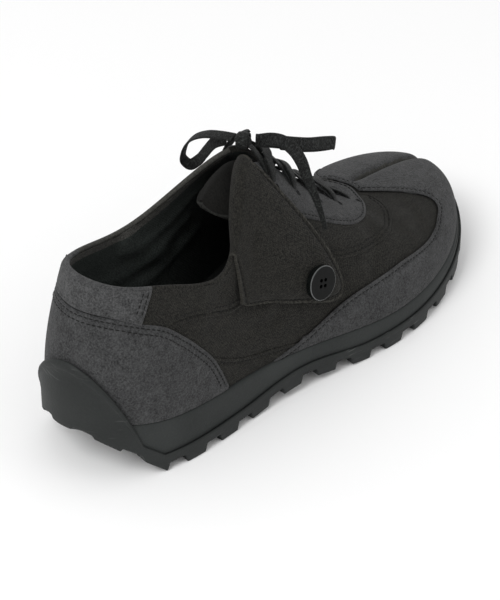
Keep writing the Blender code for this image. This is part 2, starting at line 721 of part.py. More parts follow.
def make_button():
    radius = BUTTON_DIAMETER / 2
    profile = [
        (0, 0), (radius - 0.0012, 0), (radius, 0.0010), (radius, BUTTON_THICKNESS - 0.0008),
        (radius - 0.0008, BUTTON_THICKNESS), (radius - BUTTON_RIM, BUTTON_THICKNESS),
        (radius - BUTTON_RIM - 0.0008, BUTTON_THICKNESS - 0.0010), (0, BUTTON_THICKNESS - 0.0010)]
    points, faces = lathe(profile, 22)
    u, w = np.array(BUTTON_U), np.array(BUTTON_W)
    centre = flap_point(u, w, FLAP)
    side = flap_point(u + 0.05, w, FLAP) - flap_point(u - 0.05, w, FLAP)
    down = flap_point(u, w + 0.08, FLAP) - flap_point(u, w - 0.08, FLAP)
    facing = np.cross(down, side)
    facing = facing / np.linalg.norm(facing)
    side = side / np.linalg.norm(side)
    up = np.cross(facing, side)
    axes = np.stack([side, up, facing])
    seat = centre + facing * BUTTON_SHANK
    button = make_object("flap_button", points @ axes + seat, faces, BUTTON)
    for i in range(4):
        turn = math.pi / 4 + i * math.pi / 2
        hole = [(0, -0.002), (BUTTON_HOLE / 2, -0.002), (BUTTON_HOLE / 2, 0.006), (0, 0.006)]
        points, faces = lathe(hole, 6)
        points = points + np.array([math.cos(turn), math.sin(turn), 0]) * BUTTON_HOLE_CIRCLE / 2
        cut(button, make_cutter(f"button_hole_{i + 1}", points @ axes + seat, faces))
    return button


# Lace: bars and crossings over the throat, joined where they meet
LACE_WIDTH = 0.0065
LACE_THICKNESS = 0.0012
LACE_LIFT = 0.0023
EYELET_ACROSS = 1 + EYELET_DROP
CROSS_LIFT = 0.0006
LACE_BAR_STEPS = 9


def ribbon(points, ups, width, thickness):
    """Corners and faces of a flat band along points, with ups towards its upper face."""
    points = np.asarray(points, float)
    runs = np.gradient(points, axis=0)
    sides = np.cross(runs, ups)
    sides = sides / np.linalg.norm(sides, axis=1, keepdims=True)
    tops = np.cross(sides, runs)
    tops = tops / np.linalg.norm(tops, axis=1, keepdims=True)
    corners = []
    for across, height in ((-1, -1), (1, -1), (1, 1), (-1, 1)):
        corners.append(points + sides * across * width / 2 + tops * height * thickness / 2)
    corners = np.stack(corners, axis=1)
    count = len(points)
    faces = [(0, 1, 2, 3), tuple(4 * (count - 1) + k for k in (3, 2, 1, 0))]
    for i in range(count - 1):
        for k in range(4):
            a, b = 4 * i + k, 4 * i + (k + 1) % 4
            faces.append((a, b, b + 4, a + 4))
    return corners.reshape(-1, 3), faces


def lace_bar(start, end, lift):
    """A band from the outer eyelet at one station to the inner eyelet at another."""
    across = np.linspace(-EYELET_ACROSS, EYELET_ACROSS, LACE_BAR_STEPS)
    stations = np.linspace(start, end, LACE_BAR_STEPS)
    middle = lift + LACE_THICKNESS / 2
    points = throat_arch(stations, across, middle)
    ups = throat_arch(stations, across, middle + 0.002) - points
    return ribbon(points, ups, LACE_WIDTH, LACE_THICKNESS)


def make_lace_bars():
    bars = make_object("lace_bars", *lace_bar(EYELET_STATIONS[0], EYELET_STATIONS[0], LACE_LIFT), LACE)
    for i, (low, high) in enumerate(zip(EYELET_STATIONS, EYELET_STATIONS[1:])):
        for k, (start, end) in enumerate(((low, high), (high, low))):
            points, faces = lace_bar(start, end, LACE_LIFT + CROSS_LIFT * (k + 1 - 0.3 * (i % 2)))
            cut(bars, make_cutter(f"lace_crossing_{i + 1}_{k + 1}", points, faces), "UNION")
    return bars


# Free lace: the knot stands on the throat and each path leaves it, in metres from the knot
KNOT_STATION = 4.15
KNOT_LIFT = 0.0054
KNOT_HALF = (0.0040, 0.0050, 0.0030)
KNOT_STEPS = 12
Path = namedtuple("Path", "along side height")
LOOP_OUTER = [
    Path(0.0052, -0.0036, -0.0010), Path(0.0100, -0.0060, -0.0025), Path(0.0195, -0.0092, -0.0065),
    Path(0.0320, -0.0145, -0.0110), Path(0.0430, -0.0166, -0.0145), Path(0.0480, -0.0176, -0.0165),
    Path(0.0492, -0.0160, -0.0187), Path(0.0465, -0.0144, -0.0190), Path(0.0410, -0.0138, -0.0175),
    Path(0.0300, -0.0113, -0.0140), Path(0.0190, -0.0062, -0.0098)]
LOOP_INNER = [
    Path(0.0000, 0.0064, -0.0010), Path(-0.0020, 0.0130, -0.0015), Path(-0.0035, 0.0220, -0.0040),
    Path(-0.0045, 0.0300, -0.0095), Path(-0.0052, 0.0345, -0.0175), Path(-0.0052, 0.0350, -0.0230),
    Path(-0.0030, 0.0325, -0.0260), Path(-0.0005, 0.0295, -0.0235), Path(0.0005, 0.0255, -0.0175),
    Path(0.0008, 0.0195, -0.0095), Path(0.0012, 0.0125, -0.0048)]
END_OUTER = [
    Path(0.0050, -0.0066, 0.0004), Path(0.0095, -0.0098, 0.0002), Path(0.0145, -0.0127, -0.0022),
    Path(0.0181, -0.0157, -0.0066), Path(0.0218, -0.0184, -0.0146), Path(0.0226, -0.0219, -0.0233),
    Path(0.0225, -0.0270, -0.0313), Path(0.0196, -0.0338, -0.0381), Path(0.0163, -0.0392, -0.0424)]
END_INNER = [
    Path(0.0060, 0.0046, -0.0010), Path(0.0095, 0.0090, -0.0035), Path(0.0120, 0.0150, -0.0090),
    Path(0.0130, 0.0212, -0.0175), Path(0.0132, 0.0262, -0.0275), Path(0.0125, 0.0300, -0.0375)]
FACE_OUTER = (-0.62, -0.54, 0.57)
FACE_INNER = (-0.30, 0.60, 0.74)
FACE_HANG_INNER = (0.30, 0.80, 0.52)
END_TWIST = math.radians(40)
FREE_LACE_STEPS = 22


def knot_place():
    return throat_arch(np.array(KNOT_STATION), np.array(0.0), KNOT_LIFT)


def make_knot():
    turns = np.arange(KNOT_STEPS) * 2 * math.pi / KNOT_STEPS
    rises = np.linspace(-math.pi / 2, math.pi / 2, KNOT_STEPS // 2 + 1)
    profile = [(math.cos(a), math.sin(a)) for a in rises]
    profile = [(0, -1)] + profile[1:-1] + [(0, 1)]
    points, faces = lathe(profile, len(turns))
    return make_object("lace_knot", points * np.array(KNOT_HALF) + knot_place(), faces, LACE)


def make_free_lace(name, path, face, twist=0.0):
    """A flat band from the knot along a path, its face turned one way at the knot and twisted by its end."""
    path = np.array(path) + knot_place()
    reach = np.concatenate([[0], np.cumsum(np.linalg.norm(np.diff(path, axis=0), axis=1))])
    places = np.linspace(0, reach[-1], FREE_LACE_STEPS)
    points = np.stack([smooth_line(reach, path[:, k])(places) for k in range(3)], axis=1)
    runs = np.gradient(points, axis=0)
    ups = [np.array(face)]
    for run in runs:
        run = run / np.linalg.norm(run)
        kept = ups[-1] - run * np.dot(ups[-1], run)
        ups.append(kept / np.linalg.norm(kept))
    ups = np.array(ups[1:])
    turns = np.linspace(0, twist, FREE_LACE_STEPS)[:, None]
    sides = np.cross(runs / np.linalg.norm(runs, axis=1, keepdims=True), ups)
    ups = ups * np.cos(turns) + sides * np.sin(turns)
    return make_object(name, *ribbon(points, ups, LACE_WIDTH, LACE_THICKNESS), LACE)


make_upper()
make_midsole()
make_outsole()
make_insole()
make_overlays()
make_tongue()
make_flap()
make_button()
make_lace_bars()
make_knot()
make_free_lace("lace_loop_outer", LOOP_OUTER, FACE_OUTER)
make_free_lace("lace_loop_inner", LOOP_INNER, FACE_INNER)
make_free_lace("lace_end_outer", END_OUTER, FACE_OUTER, END_TWIST)
make_free_lace("lace_end_inner", END_INNER, FACE_HANG_INNER)
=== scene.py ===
# %% [markdown]
# # A split-toe sneaker for the right foot
# The shoe has a canvas body, suede pieces sewn over it, a canvas flap that folds over the outer collar
# and closes with a button, flat laces, and a lugged sole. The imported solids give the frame. Every soft
# piece here is laid on the same ribbed surface that the solids follow, with finer steps and with the
# finishes on it.

import math
from collections import namedtuple

import bpy
import numpy as np
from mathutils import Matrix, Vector
from mathutils.bvhtree import BVHTree
from mathutils.kdtree import KDTree


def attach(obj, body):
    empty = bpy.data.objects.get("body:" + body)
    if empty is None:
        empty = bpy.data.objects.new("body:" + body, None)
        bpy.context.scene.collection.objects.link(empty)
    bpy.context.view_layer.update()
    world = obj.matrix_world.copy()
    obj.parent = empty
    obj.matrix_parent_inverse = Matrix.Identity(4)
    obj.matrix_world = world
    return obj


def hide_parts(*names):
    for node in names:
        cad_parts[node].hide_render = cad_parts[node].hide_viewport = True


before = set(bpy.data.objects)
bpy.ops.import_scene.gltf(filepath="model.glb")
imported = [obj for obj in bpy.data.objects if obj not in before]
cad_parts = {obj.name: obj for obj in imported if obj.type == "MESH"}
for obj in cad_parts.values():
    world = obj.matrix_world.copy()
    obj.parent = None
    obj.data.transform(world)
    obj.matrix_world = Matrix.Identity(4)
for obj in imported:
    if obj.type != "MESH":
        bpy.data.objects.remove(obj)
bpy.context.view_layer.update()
print("solids:", sorted(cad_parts))

# %% [markdown]
# ## The last
# A shoemaker lasts the upper over a wooden form. Here the form is a table of ribs round the sole's edge:
# each rib is a curve from the sole up to the rim of collar and throat. `station` counts ribs from the
# back of the heel, out along the outer side, over the toe at 8 and home along the inner side; `t` climbs
# a rib from 0 to 1.

# %% Ribs of the upper
LENGTH = 0.294
BALL_WIDTH = 0.108
INSTEP_HEIGHT = 0.118
WALL = 0.0022
SUEDE = 0.0013
GAP = 0.0003
FEATHER_INSET = 0.0030
Rib = namedtuple("Rib", "name along side belly rise top_along top_side top_height crown drop")
RIBS = [
    Rib("heel back", 0.000, 0.000, 0.028, 0.19, 0.055, 0.000, 0.875, 0.046, 0.17),
    Rib("outer heel corner", 0.050, -0.250, 0.020, 0.19, 0.080, -0.170, 0.860, 0.050, 0.17),
    Rib("outer heel", 0.160, -0.362, 0.010, 0.19, 0.158, -0.262, 0.808, 0.050, 0.14),
    Rib("outer arch", 0.303, -0.375, 0.000, 0.16, 0.283, -0.285, 0.750, 0.040, 0.13),
    Rib("outer waist", 0.466, -0.426, 0.010, 0.25, 0.408, -0.070, 0.985, 0.220, 0.22),
    Rib("outer ball", 0.626, -0.500, 0.010, 0.20, 0.541, -0.060, 0.750, 0.260, 0.11),
    Rib("little toe", 0.789, -0.444, 0.015, 0.17, 0.633, -0.050, 0.575, 0.280, 0.07),
    Rib("outer toes", 0.922, -0.250, 0.015, 0.13, 0.670, -0.020, 0.515, 0.370, 0.06),
    Rib("toe cleft", 0.993, 0.110, 0.015, 0.125, 0.681, 0.028, 0.500, 0.410, 0.06),
    Rib("big toe", 0.959, 0.324, 0.015, 0.10, 0.670, 0.065, 0.515, 0.360, 0.10),
    Rib("big toe side", 0.857, 0.444, 0.010, 0.10, 0.633, 0.093, 0.575, 0.220, 0.16),
    Rib("inner ball", 0.687, 0.500, 0.010, 0.15, 0.541, 0.100, 0.750, 0.165, 0.20),
    Rib("inner waist", 0.466, 0.370, 0.000, 0.25, 0.418, 0.095, 0.985, 0.180, 0.20),
    Rib("inner arch", 0.303, 0.316, 0.000, 0.20, 0.287, 0.270, 0.755, 0.030, 0.15),
    Rib("inner heel", 0.160, 0.350, 0.010, 0.19, 0.158, 0.245, 0.795, 0.050, 0.14),
    Rib("inner heel corner", 0.050, 0.250, 0.020, 0.19, 0.080, 0.160, 0.855, 0.050, 0.17),
]
STATIONS = len(RIBS)
FEATHERS = [(0.00, 0.0340), (0.10, 0.0292), (0.20, 0.0270), (0.40, 0.0235), (0.63, 0.0180), (0.84, 0.0200),
            (1.00, 0.0275)]
MIDDLE = np.array([LENGTH / 2, 0.0, 0.0])
print(STATIONS, "ribs")


# %% Smooth lines through the table
def closed_spline(knots, rows):
    """A smooth closed curve through rows at knots, whose last knot is the first row again."""
    steps = np.diff(knots)
    count = len(rows)
    slopes = (np.roll(rows, -1, axis=0) - rows) / steps[:, None]
    system = np.zeros((count, count))
    for i in range(count):
        system[i, i - 1] += steps[i - 1]
        system[i, i] += 2 * (steps[i - 1] + steps[i])
        system[i, (i + 1) % count] += steps[i]
    bends = np.linalg.solve(system, 6 * (slopes - np.roll(slopes, 1, axis=0)))

    def value(s):
        s = np.mod(np.asarray(s, float), knots[-1])
        i = np.clip(np.searchsorted(knots, s, side="right") - 1, 0, count - 1)
        j = (i + 1) % count
        h = steps[i][..., None]
        a = (knots[i + 1] - s)[..., None] / h
        b = 1 - a
        bend = ((a ** 3 - a) * bends[i] + (b ** 3 - b) * bends[j]) * h ** 2 / 6
        return a * rows[i] + b * rows[j] + bend

    return value


def smooth_line(places, values):
    """A smooth open curve of one value over rising places."""
    places = np.asarray(places, float)
    values = np.asarray(values, float)
    slopes = np.gradient(values, places)

    def value(x):
        x = np.clip(np.asarray(x, float), places[0], places[-1])
        i = np.clip(np.searchsorted(places, x, side="right") - 1, 0, len(places) - 2)
        h = places[i + 1] - places[i]
        u = (x - places[i]) / h
        rise = (1 + 2 * u) * (1 - u) ** 2 * values[i] + u ** 2 * (3 - 2 * u) * values[i + 1]
        return rise + h * (u * (1 - u) ** 2 * slopes[i] - u ** 2 * (1 - u) * slopes[i + 1])

    return value


def smooth_step(x):
    x = np.clip(x, 0, 1)
    return x * x * (3 - 2 * x)


def unit(v):
    return v / np.linalg.norm(v, axis=-1, keepdims=True)


def bell(x, width):
    """1 at 0, falling softly to nothing a few widths away."""
    return np.exp(-(x / width) ** 2)


def run_lengths(points):
    """How far along a line of points each one is, from 0 at the first."""
    return np.concatenate([[0], np.cumsum(np.linalg.norm(np.diff(points, axis=0), axis=1))])


RIB_UNITS = [LENGTH, BALL_WIDTH, BALL_WIDTH, INSTEP_HEIGHT, LENGTH, BALL_WIDTH, INSTEP_HEIGHT, BALL_WIDTH,
             INSTEP_HEIGHT]
ROWS = np.array([rib[1:] for rib in RIBS]) * RIB_UNITS
KNOTS = run_lengths(np.concatenate([ROWS, ROWS[:1]])[:, :2])
ROUND = KNOTS[-1]
ribs_at = closed_spline(KNOTS, ROWS)
feather_height = smooth_line([a * LENGTH for a, _ in FEATHERS], [h for _, h in FEATHERS])
print("round the edge:", round(ROUND, 3), "m")

# %% The sole's edge
EDGE_STEP = 1e-4


def at_station(station):
    """Distance round the sole's edge at a rib's number."""
    station = np.asarray(station, float)
    turns = np.floor(station / STATIONS)
    return np.interp(station - turns * STATIONS, np.arange(STATIONS + 1), KNOTS) + turns * ROUND


def outward(s):
    run = unit(ribs_at(s + EDGE_STEP)[..., :2] - ribs_at(s - EDGE_STEP)[..., :2])
    return np.stack([run[..., 1], -run[..., 0], np.zeros_like(run[..., 0])], axis=-1)


def edge_point(s, height, reach):
    """A point beside the sole's edge, reach outside it."""
    plan = ribs_at(s)[..., :2]
    point = np.stack([plan[..., 0], plan[..., 1], np.broadcast_to(height, plan[..., 0].shape)], axis=-1)
    return point - MIDDLE + outward(s) * np.broadcast_to(reach, plan[..., 0].shape)[..., None]


# %% The surface of the last
CLEFT_STATION = 8
CLEFT_DEPTH = 0.0062
CLEFT_HALF_WIDTH = 0.0025
CLEFT_STEEPNESS = 5
CLEFT_START = 0.725
CLEFT_FULL = 0.775
CLEFT_FOOT_SHARE = 0.4
CLEFT_FOOT_END = 0.25
CLEFT_LINE = ROWS[CLEFT_STATION]
NORMAL_STEP = 2e-4
SHARE_STEP = 1e-3


def plain_surface(s, t):
    s, t = np.broadcast_arrays(np.asarray(s, float), np.asarray(t, float))
    row = ribs_at(s)
    out = outward(s)
    lift = np.array([0.0, 0.0, 1.0])
    foot = edge_point(s, feather_height(row[..., 0]) + GAP, -FEATHER_INSET)
    rim = row[..., 4:7] - MIDDLE
    low = foot + out * row[..., 2:3] + lift * row[..., 3:4]
    high = rim + out * row[..., 7:8] - lift * row[..., 8:9]
    u = t[..., None]
    v = 1 - u
    return v ** 3 * foot + 3 * v ** 2 * u * low + 3 * v * u ** 2 * high + u ** 3 * rim


def normals(face, s, t):
    along = face(s + NORMAL_STEP, t) - face(s - NORMAL_STEP, t)
    up = face(s, np.minimum(t + SHARE_STEP, 1)) - face(s, np.maximum(t - SHARE_STEP, 0))
    return unit(np.cross(along, up))


def cleft_share(points):
    """How deep in the cleft a point is: 1 along its bottom, 0 away from it."""
    start = CLEFT_LINE[4:6]
    run = unit(CLEFT_LINE[:2] - start)
    away = points[..., :2] + MIDDLE[:2] - start
    beside = away[..., 0] * run[1] - away[..., 1] * run[0]
    along = (points[..., 0] + MIDDLE[0]) / LENGTH
    begun = smooth_step((along - CLEFT_START) / (CLEFT_FULL - CLEFT_START))
    return begun / (1 + (np.abs(beside) / CLEFT_HALF_WIDTH) ** CLEFT_STEEPNESS)


def surface(s, t):
    """The upper's outer face, with the cleft between big toe and second toe pressed into it."""
    s, t = np.broadcast_arrays(np.asarray(s, float), np.asarray(t, float))
    points = plain_surface(s, t)
    at_foot = CLEFT_FOOT_SHARE + (1 - CLEFT_FOOT_SHARE) * smooth_step(t / CLEFT_FOOT_END)
    depth = CLEFT_DEPTH * cleft_share(points) * at_foot
    return points - normals(plain_surface, s, t) * depth[..., None]


def offset_surface(s, t, reach):
    s, t = np.broadcast_arrays(np.asarray(s, float), np.asarray(t, float))
    return surface(s, t) + normals(surface, s, t) * np.broadcast_to(reach, s.shape)[..., None]


print("throat's front:", np.round(surface(at_station(CLEFT_STATION), 1.0), 4))

# %% [markdown]
# ## Camera, floor and light
# The picture was taken from behind and above the outer side. The camera keeps that angle and distance,
# and its lens is long enough that the one shoe fills the frame. A pale floor, a broad lamp with a weaker
# one in front, and a bright surround give the soft studio light of a catalogue picture.

# %% Camera
AZIMUTH = math.radians(-49)
ELEVATION = math.radians(35)
DISTANCE = 1.2
LENS = 142.0
AIM_RIGHT = -0.0092
AIM_UP = -0.0157
AIM_HEIGHT = 0.040
back = Vector((math.sin(AZIMUTH) * math.cos(ELEVATION), -math.cos(AZIMUTH) * math.cos(ELEVATION),
               math.sin(ELEVATION)))
right = Vector((math.cos(AZIMUTH), math.sin(AZIMUTH), 0))
up = back.cross(right)
centre = Vector((0, 0, AIM_HEIGHT))
camera = bpy.data.objects.new("camera", bpy.data.cameras.new("camera"))
bpy.context.scene.collection.objects.link(camera)
camera.location = centre + back * DISTANCE
aim = centre + right * AIM_RIGHT + up * AIM_UP
camera.rotation_euler = (camera.location - aim).to_track_quat("Z", "Y").to_euler()
camera.data.lens = LENS
camera.data.sensor_width = 36
bpy.context.scene.camera = camera
bpy.context.scene.view_settings.view_transform = "Standard"
print("camera at", [round(c, 3) for c in camera.location])

# %% Floor and lamps
FLOOR_SIZE = 8
FLOOR_WHITE = (0.95, 0.95, 0.95, 1)
FLOOR_ROUGHNESS = 0.9
SURROUND_WHITE = (1, 1, 1, 1)
SURROUND_STRENGTH = 0.78
Lamp = namedtuple("Lamp", "name place size power")
LAMPS = [Lamp("key_lamp", (-1.3, -0.15, 1.5), 0.9, 17), Lamp("front_lamp", (0.6, -1.3, 0.9), 0.9, 1.5)]
bpy.ops.object.select_all(action="DESELECT")
bpy.ops.mesh.primitive_plane_add(size=FLOOR_SIZE)
floor = bpy.context.object
floor.name = "floor"
floor_paint = bpy.data.materials.new("floor_paint")
floor_paint.use_nodes = True
paint = floor_paint.node_tree.nodes["Principled BSDF"].inputs
paint["Base Color"].default_value = FLOOR_WHITE
paint["Roughness"].default_value = FLOOR_ROUGHNESS
floor.data.materials.append(floor_paint)

world = bpy.data.worlds.new("surround")
world.use_nodes = True
sky = world.node_tree.nodes["Background"].inputs
sky["Color"].default_value = SURROUND_WHITE
sky["Strength"].default_value = SURROUND_STRENGTH
bpy.context.scene.world = world

for each in LAMPS:
    lamp = bpy.data.objects.new(each.name, bpy.data.lights.new(each.name, "AREA"))
    lamp.data.shape = "DISK"
    lamp.data.size = each.size
    lamp.data.energy = each.power
    lamp.location = each.place
    lamp.rotation_euler = (Vector(each.place) - centre).to_track_quat("Z", "Y").to_euler()
    bpy.context.scene.collection.objects.link(lamp)
print("lamps:", [each.name for each in LAMPS])

# %% [markdown]
# ## Shared finishes
# Woven cloth, napped suede and moulded rubber each repeat on several pieces, so each effect is a node
# group with named sockets. The cloth and lace patterns follow each piece's own UV map, which is in
# metres, so a thread is the same size on every piece. The nap and the rubber's grain use Object
# coordinates.

# %% Node helpers
def put(tree, kind, **values):
    """A node of a kind, with values for its properties or its input sockets."""
    node = tree.nodes.new(kind)
    for key, value in values.items():
        if hasattr(node, key):
            setattr(node, key, value)
        else:
            node.inputs[key.replace("_", " ")].default_value = value
    return node


def group(name, inputs, outputs):
    """An empty node group: its inputs are vectors where they have no default, all else is numbers."""
    tree = bpy.data.node_groups.new(name, "ShaderNodeTree")
    for label, default in inputs:
        kind = "NodeSocketVector" if default is None else "NodeSocketFloat"
        socket = tree.interface.new_socket(name=label, in_out="INPUT", socket_type=kind)
        if default is not None:
            socket.default_value = default
    for label in outputs:
        tree.interface.new_socket(name=label, in_out="OUTPUT", socket_type="NodeSocketFloat")
    return tree, tree.nodes.new("NodeGroupInput"), tree.nodes.new("NodeGroupOutput")


def maths(tree, operation, a, b=None, clamp=False):
    node = tree.nodes.new("ShaderNodeMath")
    node.operation = operation
    node.use_clamp = clamp
    for socket, value in zip(node.inputs, (a, b)):
        if value is None:
            continue
        if isinstance(value, (int, float)):
            socket.default_value = value
        else:
            tree.links.new(value, socket)
    return node.outputs[0]


def noise(tree, vector, scale, detail=3.0, roughness=0.6):
    node = put(tree, "ShaderNodeTexNoise", Detail=detail, Roughness=roughness)
    tree.links.new(vector, node.inputs["Vector"])
    if isinstance(scale, (int, float)):
        node.inputs["Scale"].default_value = scale
    else:
        tree.links.new(scale, node.inputs["Scale"])
    return node.outputs["Fac"]


def weighted(tree, *parts):
    """The sum of several outputs, each times its weight."""
    total = None
    for value, weight in parts:
        part = maths(tree, "MULTIPLY", value, weight)
        total = part if total is None else maths(tree, "ADD", total, part)
    return total


def above(tree, value, start, gain):
    """How far an output is above start, times gain and no more than 1."""
    return maths(tree, "MULTIPLY", maths(tree, "SUBTRACT", value, start, True), gain, True)


# %% Weave
def make_weave():
    """Two sets of threads that pass over and under each other."""
    tree, given, out = group("woven_threads", [("Vector", None), ("Threads", 1400.0)], ["Height", "Shade"])
    place = given.outputs["Vector"]
    axes = put(tree, "ShaderNodeSeparateXYZ")
    tree.links.new(place, axes.inputs[0])
    waves = []
    for k in (0, 1):
        turns = maths(tree, "MULTIPLY", axes.outputs[k], given.outputs["Threads"])
        waves.append(maths(tree, "SINE", maths(tree, "MULTIPLY", turns, math.pi)))
    checks = maths(tree, "MULTIPLY", waves[0], waves[1])
    ridge = maths(tree, "ADD", maths(tree, "ABSOLUTE", waves[0]), maths(tree, "ABSOLUTE", waves[1]))
    slub = noise(tree, place, scale=180.0, detail=4.0, roughness=0.7)
    fleck = noise(tree, place, scale=950.0, detail=2.0, roughness=0.7)
    tree.links.new(weighted(tree, (checks, 0.35), (ridge, 0.3), (fleck, 0.9)), out.inputs["Height"])
    tree.links.new(weighted(tree, (slub, 0.25), (fleck, 0.75)), out.inputs["Shade"])
    return tree


# %% Nap, painted glints and grain
def make_nap():
    """Short brushed fibres: fine grain, and wider patches where the nap lies another way."""
    tree, given, out = group("brushed_nap", [("Vector", None), ("Fibres", 900.0)], ["Height", "Shade"])
    place = given.outputs["Vector"]
    fibre = noise(tree, place, given.outputs["Fibres"], detail=5.0, roughness=0.75)
    patch = noise(tree, place, scale=60.0, detail=3.0, roughness=0.55)
    cloud = noise(tree, place, scale=240.0, detail=3.0, roughness=0.6)
    tree.links.new(fibre, out.inputs["Height"])
    tree.links.new(weighted(tree, (fibre, 0.72), (cloud, 0.16), (patch, 0.12)), out.inputs["Shade"])
    return tree


def make_glint_streaks():
    """Short level light streaks: painted glints on the moulded rubber."""
    tree, given, out = group("painted_glint_streaks", [("Vector", None), ("Amount", 0.8)], ["Mask"])
    place = given.outputs["Vector"]
    stretch = put(tree, "ShaderNodeMapping", Scale=(55.0, 55.0, 900.0))
    tree.links.new(place, stretch.inputs["Vector"])
    streak = noise(tree, stretch.outputs["Vector"], scale=1.0, detail=3.0, roughness=0.6)
    spots = noise(tree, place, scale=45.0, detail=2.0, roughness=0.5)
    mask = maths(tree, "MULTIPLY", above(tree, streak, 0.58, 8.0), above(tree, spots, 0.50, 5.0))
    tree.links.new(maths(tree, "MULTIPLY", mask, given.outputs["Amount"], True), out.inputs["Mask"])
    return tree


def make_grain():
    """Moulded rubber: a fine skin and slow cloudiness."""
    tree, given, out = group("moulded_grain", [("Vector", None), ("Grain", 700.0)], ["Height", "Shade"])
    place = given.outputs["Vector"]
    skin = noise(tree, place, given.outputs["Grain"], detail=4.0, roughness=0.65)
    cloud = noise(tree, place, scale=34.0, detail=3.0, roughness=0.5)
    tree.links.new(skin, out.inputs["Height"])
    tree.links.new(weighted(tree, (skin, 0.4), (cloud, 0.6)), out.inputs["Shade"])
    return tree


WEAVE = make_weave()
NAP = make_nap()
GRAIN = make_grain()
GLINT_STREAKS = make_glint_streaks()
print("node groups:", [g.name for g in bpy.data.node_groups])

# %% How a finish is made
CLOTH_UV = "cloth"
# Colour of the light streaks on the rubber: painted glints.
GLINT_COLOUR = (0.16, 0.165, 0.16, 1)
MIX_FROM, MIX_TO, MIX_RESULT = 6, 7, 2
ROUGHNESS_SPREAD = 0.12
SHEEN_ROUGHNESS = 0.5


def make_finish(name, effect, dark, light, roughness, bump, spread=(0.36, 0.64), on_uv=True, sheen=0.0,
                specular=0.2, glinted=False, **scale):
    """A Principled material whose colour and bump come from one of the effects."""
    material = bpy.data.materials.new(name)
    material.use_nodes = True
    tree = material.node_tree
    shader = tree.nodes["Principled BSDF"]
    if on_uv:
        place = put(tree, "ShaderNodeUVMap", uv_map=CLOTH_UV).outputs["UV"]
    else:
        place = put(tree, "ShaderNodeTexCoord").outputs["Object"]
    effect_node = tree.nodes.new("ShaderNodeGroup")
    effect_node.node_tree = effect
    for label, value in scale.items():
        effect_node.inputs[label].default_value = value
    tree.links.new(place, effect_node.inputs["Vector"])
    ramp = put(tree, "ShaderNodeValToRGB")
    for stop, position, colour in zip(ramp.color_ramp.elements, spread, (dark, light)):
        stop.position = position
        stop.color = (*colour, 1)
    tree.links.new(effect_node.outputs["Shade"], ramp.inputs["Fac"])
    colour = ramp.outputs["Color"]
    # Painted glints: light streaks mixed into the colour where the mask is on.
    if glinted:
        marks = tree.nodes.new("ShaderNodeGroup")
        marks.node_tree = GLINT_STREAKS
        tree.links.new(place, marks.inputs["Vector"])
        blend = put(tree, "ShaderNodeMix", data_type="RGBA")
        blend.inputs[MIX_TO].default_value = GLINT_COLOUR
        tree.links.new(marks.outputs["Mask"], blend.inputs["Factor"])
        tree.links.new(colour, blend.inputs[MIX_FROM])
        colour = blend.outputs[MIX_RESULT]
    tree.links.new(colour, shader.inputs["Base Color"])
    rough = maths(tree, "MULTIPLY_ADD", effect_node.outputs["Shade"], ROUGHNESS_SPREAD)
    rough.node.inputs[2].default_value = roughness - ROUGHNESS_SPREAD / 2
    tree.links.new(rough, shader.inputs["Roughness"])
    relief = put(tree, "ShaderNodeBump", Strength=bump[0], Distance=bump[1])
    tree.links.new(effect_node.outputs["Height"], relief.inputs["Height"])
    tree.links.new(relief.outputs["Normal"], shader.inputs["Normal"])
    shader.inputs["Sheen Weight"].default_value = sheen
    shader.inputs["Sheen Roughness"].default_value = SHEEN_ROUGHNESS
    shader.inputs["Specular IOR Level"].default_value = specular
    return material


# %% Cloth and suede
CANVAS = make_finish("canvas", WEAVE, (0.0030, 0.0028, 0.0021), (0.0240, 0.0228, 0.0190), 0.90, (0.6, 0.0008),
                     spread=(0.41, 0.60), sheen=0.03, Threads=1300.0)
# Paler canvas for the flap's edge: a painted highlight where the fold catches light, partly rub wear.
EDGE_HIGHLIGHT_AND_RUB = make_finish("canvas_edge_highlight_and_rub", WEAVE, (0.0110, 0.0106, 0.0090), (0.052, 0.050, 0.043), 0.92,
                          (0.6, 0.0006), spread=(0.40, 0.62), Threads=1300.0)
FACING = make_finish("facing", WEAVE, (0.026, 0.0255, 0.023), (0.064, 0.063, 0.057), 0.86, (0.5, 0.0006),
                     Threads=1300.0)
COLLAR_FACING = make_finish("collar_facing", WEAVE, (0.045, 0.0445, 0.041), (0.135, 0.133, 0.122), 0.86,
                            (0.5, 0.0006), spread=(0.40, 0.62), Threads=1300.0)
LINING = make_finish("lining", WEAVE, (0.0170, 0.0205, 0.0190), (0.0520, 0.0600, 0.0560), 0.92, (0.4, 0.0006),
                     Threads=1100.0)
# A lighter copy of the suede for the back tab: painted light, as the tab faces the key lamp.
SUEDE_TAB_LIT = make_finish("suede_tab_painted_light", NAP, (0.0115, 0.0115, 0.012), (0.095, 0.096, 0.097), 0.94,
                        (0.6, 0.0008), spread=(0.37, 0.65), on_uv=False, sheen=0.06, Fibres=1050.0)
SUEDE_NAP = make_finish("suede", NAP, (0.009, 0.009, 0.0095), (0.074, 0.075, 0.076), 0.94, (0.6, 0.0008),
                        spread=(0.37, 0.65), on_uv=False, sheen=0.06, Fibres=1050.0)

# %% Rubber, foam, horn and thread
# The rubber's light streaks are painted glints.
RUBBER = make_finish("rubber", GRAIN, (0.0080, 0.0097, 0.0093), (0.0160, 0.0181, 0.0174), 0.62,
                     (0.25, 0.0006), on_uv=False, specular=0.3, glinted=True, Grain=800.0)
FOAM = make_finish("foam", GRAIN, (0.0135, 0.0158, 0.0152), (0.026, 0.0288, 0.028), 0.70, (0.25, 0.0006),
                   on_uv=False, specular=0.3, Grain=1000.0)
HORN = make_finish("button_horn", GRAIN, (0.0020, 0.0027, 0.0025), (0.0065, 0.0076, 0.0072), 0.24,
                   (0.1, 0.0004), on_uv=False, specular=0.18, Grain=300.0)
